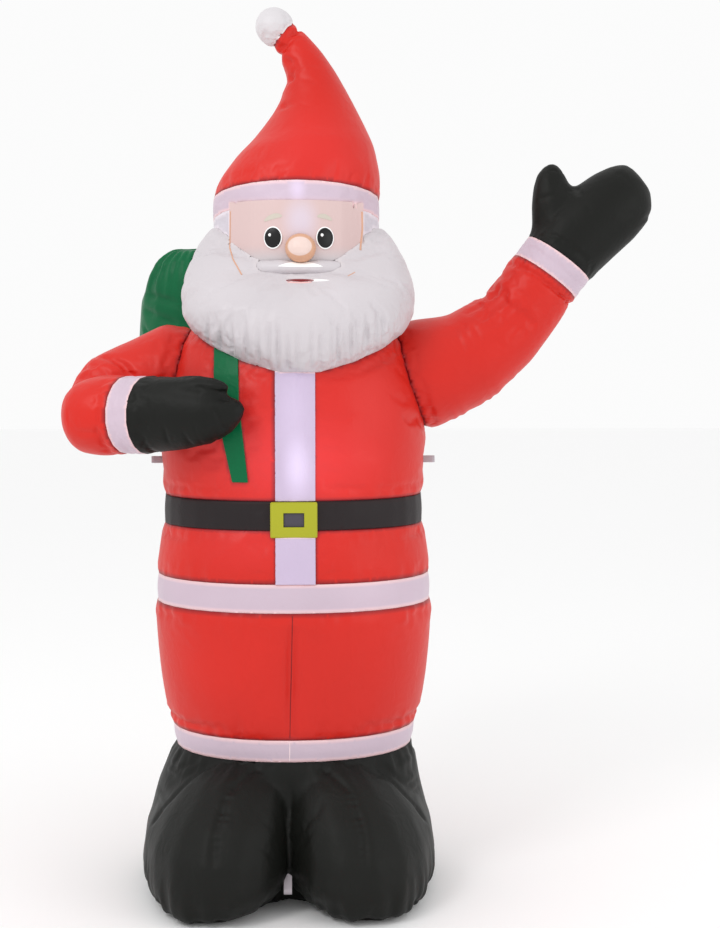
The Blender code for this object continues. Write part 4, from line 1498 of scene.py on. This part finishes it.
@dataclass
class Head:
    """Head, face, eyes, nose, mouth, moustache and beard."""

    eye_width: float = 0.047
    eye_height: float = 0.055
    eye_depth: float = 0.005
    eye_outline: float = 0.0016
    outline_lift: float = 0.0006
    glint_half_sizes: Place = (0.0042, 0.0014, 0.0042)
    glint_across: float = 0.008
    glint_ahead: float = 0.0046
    glint_above: float = 0.007
    beard_folds: tuple[float, ...] = (
        -0.224, -0.189, -0.158, -0.124, -0.091, -0.066, -0.042, -0.016, 0.009, 0.043, 0.070, 0.099,
        0.116, 0.133, 0.149, 0.164, 0.180, 0.193, 0.216, 0.236,
    )

    def make(self, nodes: Nodes) -> None:
        """Makes the pieces.

        Args:
            nodes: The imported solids.
        """
        Section("head", HEAD_WHITE, bulge=0.004, slack=0.002, cover="face").make(nodes)
        face = self._patchwork("face", SKIN, 0.004, soften=2, even_depth=160).make(nodes)
        moustache = self._patchwork("moustache", BEARD_WHITE, 0.004, soften=4, even_depth=30).make(nodes)
        beard = Section(
            "beard",
            BEARD_WHITE,
            voxel=0.008,
            bulge=0.010,
            excess=0.04,
            seam_width=0.007,
            details=self._beard_folds(),
        ).make(nodes)
        self._patchwork("nose", NOSE, 0.004, soften=5).make(nodes)
        front = Front(face, moustache, beard)
        self._eyes(Front(face))
        patches = (
            Patch("brow_left", 0.0830, 1.8085, 0.040, 0.013, BROW, arch=0.005, slope=-0.004),
            Patch("brow_right", -0.0520, 1.8075, 0.048, 0.014, BROW, arch=0.005, slope=0.006),
            # painted highlight: a white patch under the nose where the moustache's edge catches the light
            Patch("painted_highlight_under_nose", 0.0190, 1.6815, 0.118, 0.015, WHITE_PRINT_AND_HIGHLIGHT, pointed=0.9, arch=0.006),
            Patch("mouth_gleam", 0.0560, 1.6450, 0.076, 0.0062, WHITE_PRINT_AND_HIGHLIGHT, pointed=0.8),
            Patch("lower_lip", 0.0160, 1.6395, 0.064, 0.0060, LIP, pointed=0.7),
        )
        for patch in patches:
            patch.make(front)
        mouth = Patch("mouth_line", 0.0190, 1.6443, 0.072, 0.0072, MOUTH, pointed=0.45, lift=0.0024)
        made = mouth.make(front)
        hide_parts("mouth")
        for line in (
            SeamLine(
                "face_seam_right",
                ((-0.166, 1.832), (-0.1675, 1.735), (-0.158, 1.703), (-0.134, 1.660)),
                SEAM_TAN,
                radius=0.0020,
            ),
            SeamLine(
                "face_seam_left",
                ((0.1835, 1.832), (0.1845, 1.785), (0.1785, 1.729)),
                SEAM_TAN,
                radius=0.0026,
            ),
            SeamLine("face_seam_tail", ((0.1430, 1.657), (0.1620, 1.668)), SEAM_TAN),
        ):
            line.make(front)

    @staticmethod
    def _patchwork(node: str, finish: Finish, voxel: float, soften: int, even_depth: int = 0) -> Section:
        """A small section that is too stiff to be blown up any further.

        Args:
            node: Its solid's name.
            finish: Its finish.
            voxel: Size of its faces.
            soften: How often it is smoothed.
            even_depth: How often only its depth is smoothed.

        Returns:
            The section.
        """
        return Section(
            node,
            finish,
            voxel=voxel,
            frames=0,
            slack=0.0,
            easing=0,
            seam_width=0.0,
            straighten=False,
            soften=soften,
            even_depth=even_depth,
        )

    def _beard_folds(self) -> tuple[Crease, ...]:
        """Upright folds in the lower third of the beard, unevenly spaced and closer towards its left.

        Returns:
            The folds.
        """
        picked = np.random.default_rng(11)
        folds = []
        for x in self.beard_folds:
            level = 1.405 + 0.9 * (x - 0.013) ** 2
            length = picked.uniform(0.09, 0.14)
            lean = picked.uniform(-0.004, 0.008)
            depth = picked.uniform(0.005, 0.008)
            start, end = (x, 0.0, level), (x + lean, 0.0, level + length)
            folds.append(Crease(start, end, depth, 0.0055, seen_from_front=True))
        return tuple(folds)

    def _eyes(self, front: Front) -> None:
        """Black oval eyes with a thin white outline and a glint.

        Args:
            front: The face.
        """
        for name in ("eye_left", "eye_right"):
            low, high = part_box(name)
            x, z = (low.x + high.x) / 2, (low.z + high.z) / 2
            y = front.depth(x, z)
            beside = 0.01
            side = front.depth(x + beside, z) - front.depth(x - beside, z)
            turn = math.atan2(side, 2 * beside)
            deselect()
            bpy.ops.mesh.primitive_uv_sphere_add(segments=40, ring_count=20, radius=1.0, location=(x, y, z))
            ball = bpy.context.object
            ball.name = f"{name}_patch"
            ball.scale = (self.eye_width / 2, self.eye_depth, self.eye_height / 2)
            ball.rotation_euler = (0, 0, turn)
            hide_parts(name)
            finished(ball, EYE)
            deselect()
            bpy.ops.mesh.primitive_torus_add(
                major_segments=56,
                minor_segments=10,
                major_radius=self.eye_width / 2,
                minor_radius=self.eye_outline,
                location=(x, y - self.outline_lift, z),
                rotation=(math.radians(90), 0, turn),
            )
            ring = bpy.context.object
            ring.name = f"{name}_outline"
            ring.scale = (1.0, self.eye_height / self.eye_width, 1.0)
            finished(ring, WHITE_PRINT_AND_HIGHLIGHT)
            deselect()
            back = self.glint_across * side / (2 * beside)
            place = (x - self.glint_across, y - self.glint_ahead - back, z + self.glint_above)
            bpy.ops.mesh.primitive_uv_sphere_add(segments=20, ring_count=10, radius=1.0, location=place)
            glint = bpy.context.object
            glint.name = f"{name}_glint"
            glint.scale = self.glint_half_sizes
            finished(glint, WHITE_PRINT_AND_HIGHLIGHT)


@dataclass
class Hat:
    """White band, pointed hat and pompom."""

    def make(self, nodes: Nodes) -> None:
        """Makes the pieces.

        Args:
            nodes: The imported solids.
        """
        Section(
            "hat_band",
            WHITE_BAND,
            voxel=0.008,
            bulge=0.004,
            slack=0.001,
            excess=0.02,
            frames=8,
            cover="face",
        ).make(nodes)
        Section(
            "hat",
            RED,
            voxel=0.009,
            bulge=0.008,
            excess=0.04,
            pressure=2.5,
            details=(
                Crease((-0.050, -0.03, 2.252), (0.055, -0.062, 2.232), 0.009, 0.009),
                Crease((-0.050, -0.02, 2.212), (0.056, -0.082, 2.182), 0.010, 0.009),
                Crease((-0.055, -0.05, 2.128), (0.056, -0.115, 2.106), 0.008, 0.010),
                Crease((-0.050, -0.02, 2.285), (0.010, -0.045, 2.276), 0.005, 0.007),
            ),
        ).make(nodes)
        Section("pompom", POMPOM_WHITE, voxel=0.006, bulge=0.003, excess=0.05, frames=10).make(nodes)


@dataclass
class GiftSack:
    """Green satin sack and its strap."""

    strap_voxel: float = 0.0030

    def make(self, nodes: Nodes) -> None:
        """Makes the pieces.

        Args:
            nodes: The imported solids.
        """
        Section(
            "sack",
            GREEN,
            bulge=0.010,
            excess=0.08,
            pressure=2.5,
            details=(
                Gathers((-0.26, 0.31, 0.0), 1.56, 1.74, 14, 0.010, seed=13, upwards=False),
                Gathers((-0.18, 0.34, 0.0), 1.09, 1.26, 16, 0.009, seed=14),
                Crease((-0.455, 0.30, 1.64), (-0.330, 0.19, 1.60), 0.010, 0.012),
                Crease((-0.455, 0.30, 1.59), (-0.330, 0.20, 1.54), 0.012, 0.013),
                Crease((-0.450, 0.34, 1.52), (-0.350, 0.20, 1.50), 0.010, 0.012),
                Crease((-0.440, 0.30, 1.54), (-0.400, 0.24, 1.46), 0.008, 0.010),
            ),
        ).make(nodes)
        strap = nodes.copied("sack_strap", "sack_strap_cloth")
        strap.data.remesh_voxel_size = self.strap_voxel
        bpy.ops.object.voxel_remesh()
        apply_modifier(strap, "SMOOTH", iterations=4, factor=0.5)
        points = corners(strap)
        for fold in (
            Crease((-0.175, -0.31, 1.46), (-0.150, -0.31, 1.30), 0.0025, 0.006),
            Crease((-0.150, -0.31, 1.20), (-0.140, -0.31, 1.12), 0.0020, 0.005),
        ):
            points = fold.move(points, normals(strap))
        place_corners(strap, points)
        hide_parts("sack_strap")
        finished(strap, GREEN)


@dataclass
class Fittings:
    """Webbing loops and the fan's intake."""

    webbing_edge: float = 0.0006
    guard_rings: int = 3
    guard_bars: int = 12
    guard_rim: float = 0.4
    wire: float = 0.0016

    def make(self, nodes: Nodes) -> None:
        """Makes the pieces.

        Args:
            nodes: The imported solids.
        """
        for name in ("tether_loop_left", "tether_loop_right", "stake_loop"):
            trimmed(nodes, name, WEBBING, self.webbing_edge)
        trimmed(nodes, "blower_rim", PLASTIC, 0.0015)
        trimmed(nodes, "blower_grille", PLASTIC, 0.0006)
        self._guard()

    def _guard(self) -> None:
        """A wire guard in front of the fan's intake."""
        low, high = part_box("blower_grille")
        middle = (low + high) / 2
        reach = (high.x - low.x) / 2
        for step in range(self.guard_rings):
            deselect()
            bpy.ops.mesh.primitive_torus_add(
                major_segments=64,
                minor_segments=8,
                major_radius=reach * (step + 1) / (self.guard_rings + self.guard_rim),
                minor_radius=self.wire,
                location=(middle.x, high.y + self.wire, middle.z),
                rotation=(math.radians(90), 0, 0),
            )
            ring = bpy.context.object
            ring.name = f"guard_ring_{step + 1}"
            finished(ring, PLASTIC)
        for step in range(self.guard_bars // 2):
            deselect()
            bpy.ops.mesh.primitive_cylinder_add(
                vertices=10,
                radius=self.wire,
                depth=2 * reach,
                location=(middle.x, high.y + self.wire, middle.z),
                rotation=(0, math.tau * step / self.guard_bars, 0),
            )
            bar = bpy.context.object
            bar.name = f"guard_bar_{step + 1}"
            finished(bar, PLASTIC, 40)


@dataclass
class Studio:
    """Floor, soft light and the camera at the photograph's place."""

    camera_place: Place = (0.0, -4.2, 1.42237)
    camera_aim: Place = (0.1846, 0.0, 1.15)
    lens: float = 58.682
    floor_size: float = 60.0
    surround: float = 0.97
    key_power: float = 50.0
    fill_power: float = 20.0
    floor_tone: float = 0.97
    lamp_aim: Place = (0.0, 0.0, 1.2)

    def make(self) -> None:
        """Builds the studio."""
        deselect()
        bpy.ops.mesh.primitive_plane_add(size=self.floor_size)
        floor = bpy.context.object
        floor.name = "floor"
        paper = bpy.data.materials.new("floor_paper")
        paper.use_nodes = True
        shader = paper.node_tree.nodes["Principled BSDF"]
        shader.inputs["Base Color"].default_value = (self.floor_tone, self.floor_tone, self.floor_tone, 1.0)
        shader.inputs["Roughness"].default_value = 0.9
        floor.data.materials.append(paper)
        world = bpy.data.worlds.new("studio")
        world.use_nodes = True
        sky = world.node_tree.nodes["Background"]
        sky.inputs["Color"].default_value = (1.0, 1.0, 1.0, 1.0)
        sky.inputs["Strength"].default_value = self.surround
        bpy.context.scene.world = world
        bpy.context.scene.view_settings.view_transform = "Standard"
        self._softbox("key", (-2.4, -3.0, 4.2), 1.6, self.key_power)
        self._softbox("fill", (3.4, -2.6, 2.0), 2.2, self.fill_power)
        self._camera()

    def _softbox(self, name: str, place: Place, size: float, power: float) -> None:
        """A square soft light that points at the figure.

        Args:
            name: Its name.
            place: Where it stands.
            size: Its side.
            power: Its power in watts.
        """
        lamp = bpy.data.lights.new(name, "AREA")
        lamp.shape = "SQUARE"
        lamp.size = size
        lamp.energy = power
        holder = bpy.data.objects.new(name, lamp)
        bpy.context.scene.collection.objects.link(holder)
        holder.location = place
        aim = Vector(self.lamp_aim) - Vector(place)
        holder.rotation_euler = aim.to_track_quat("-Z", "Y").to_euler()

    def _camera(self) -> None:
        """The camera, turned to the figure as the photograph was."""
        lens = bpy.data.cameras.new("photo_camera")
        lens.lens = self.lens
        lens.sensor_width = 36.0
        camera = bpy.data.objects.new("photo_camera", lens)
        bpy.context.scene.collection.objects.link(camera)
        camera.location = self.camera_place
        aim = Vector(self.camera_aim) - Vector(self.camera_place)
        camera.rotation_euler = aim.to_track_quat("-Z", "Y").to_euler()
        bpy.context.scene.camera = camera


def main() -> None:
    """Builds the dressed figure and its studio."""
    logging.basicConfig(level=logging.INFO, format="%(name)s: %(message)s")
    for start_object in list(bpy.data.objects):
        bpy.data.objects.remove(start_object, do_unlink=True)
    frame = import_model()
    deselect()
    nodes = Nodes(frame["nodes"])
    for assembly in (Legs(), Coat(), Arms(), Head(), Hat(), GiftSack(), Fittings()):
        assembly.make(nodes)
        log.info("%s made", type(assembly).__name__)
    Studio().make()


if __name__ == "__main__":
    main()
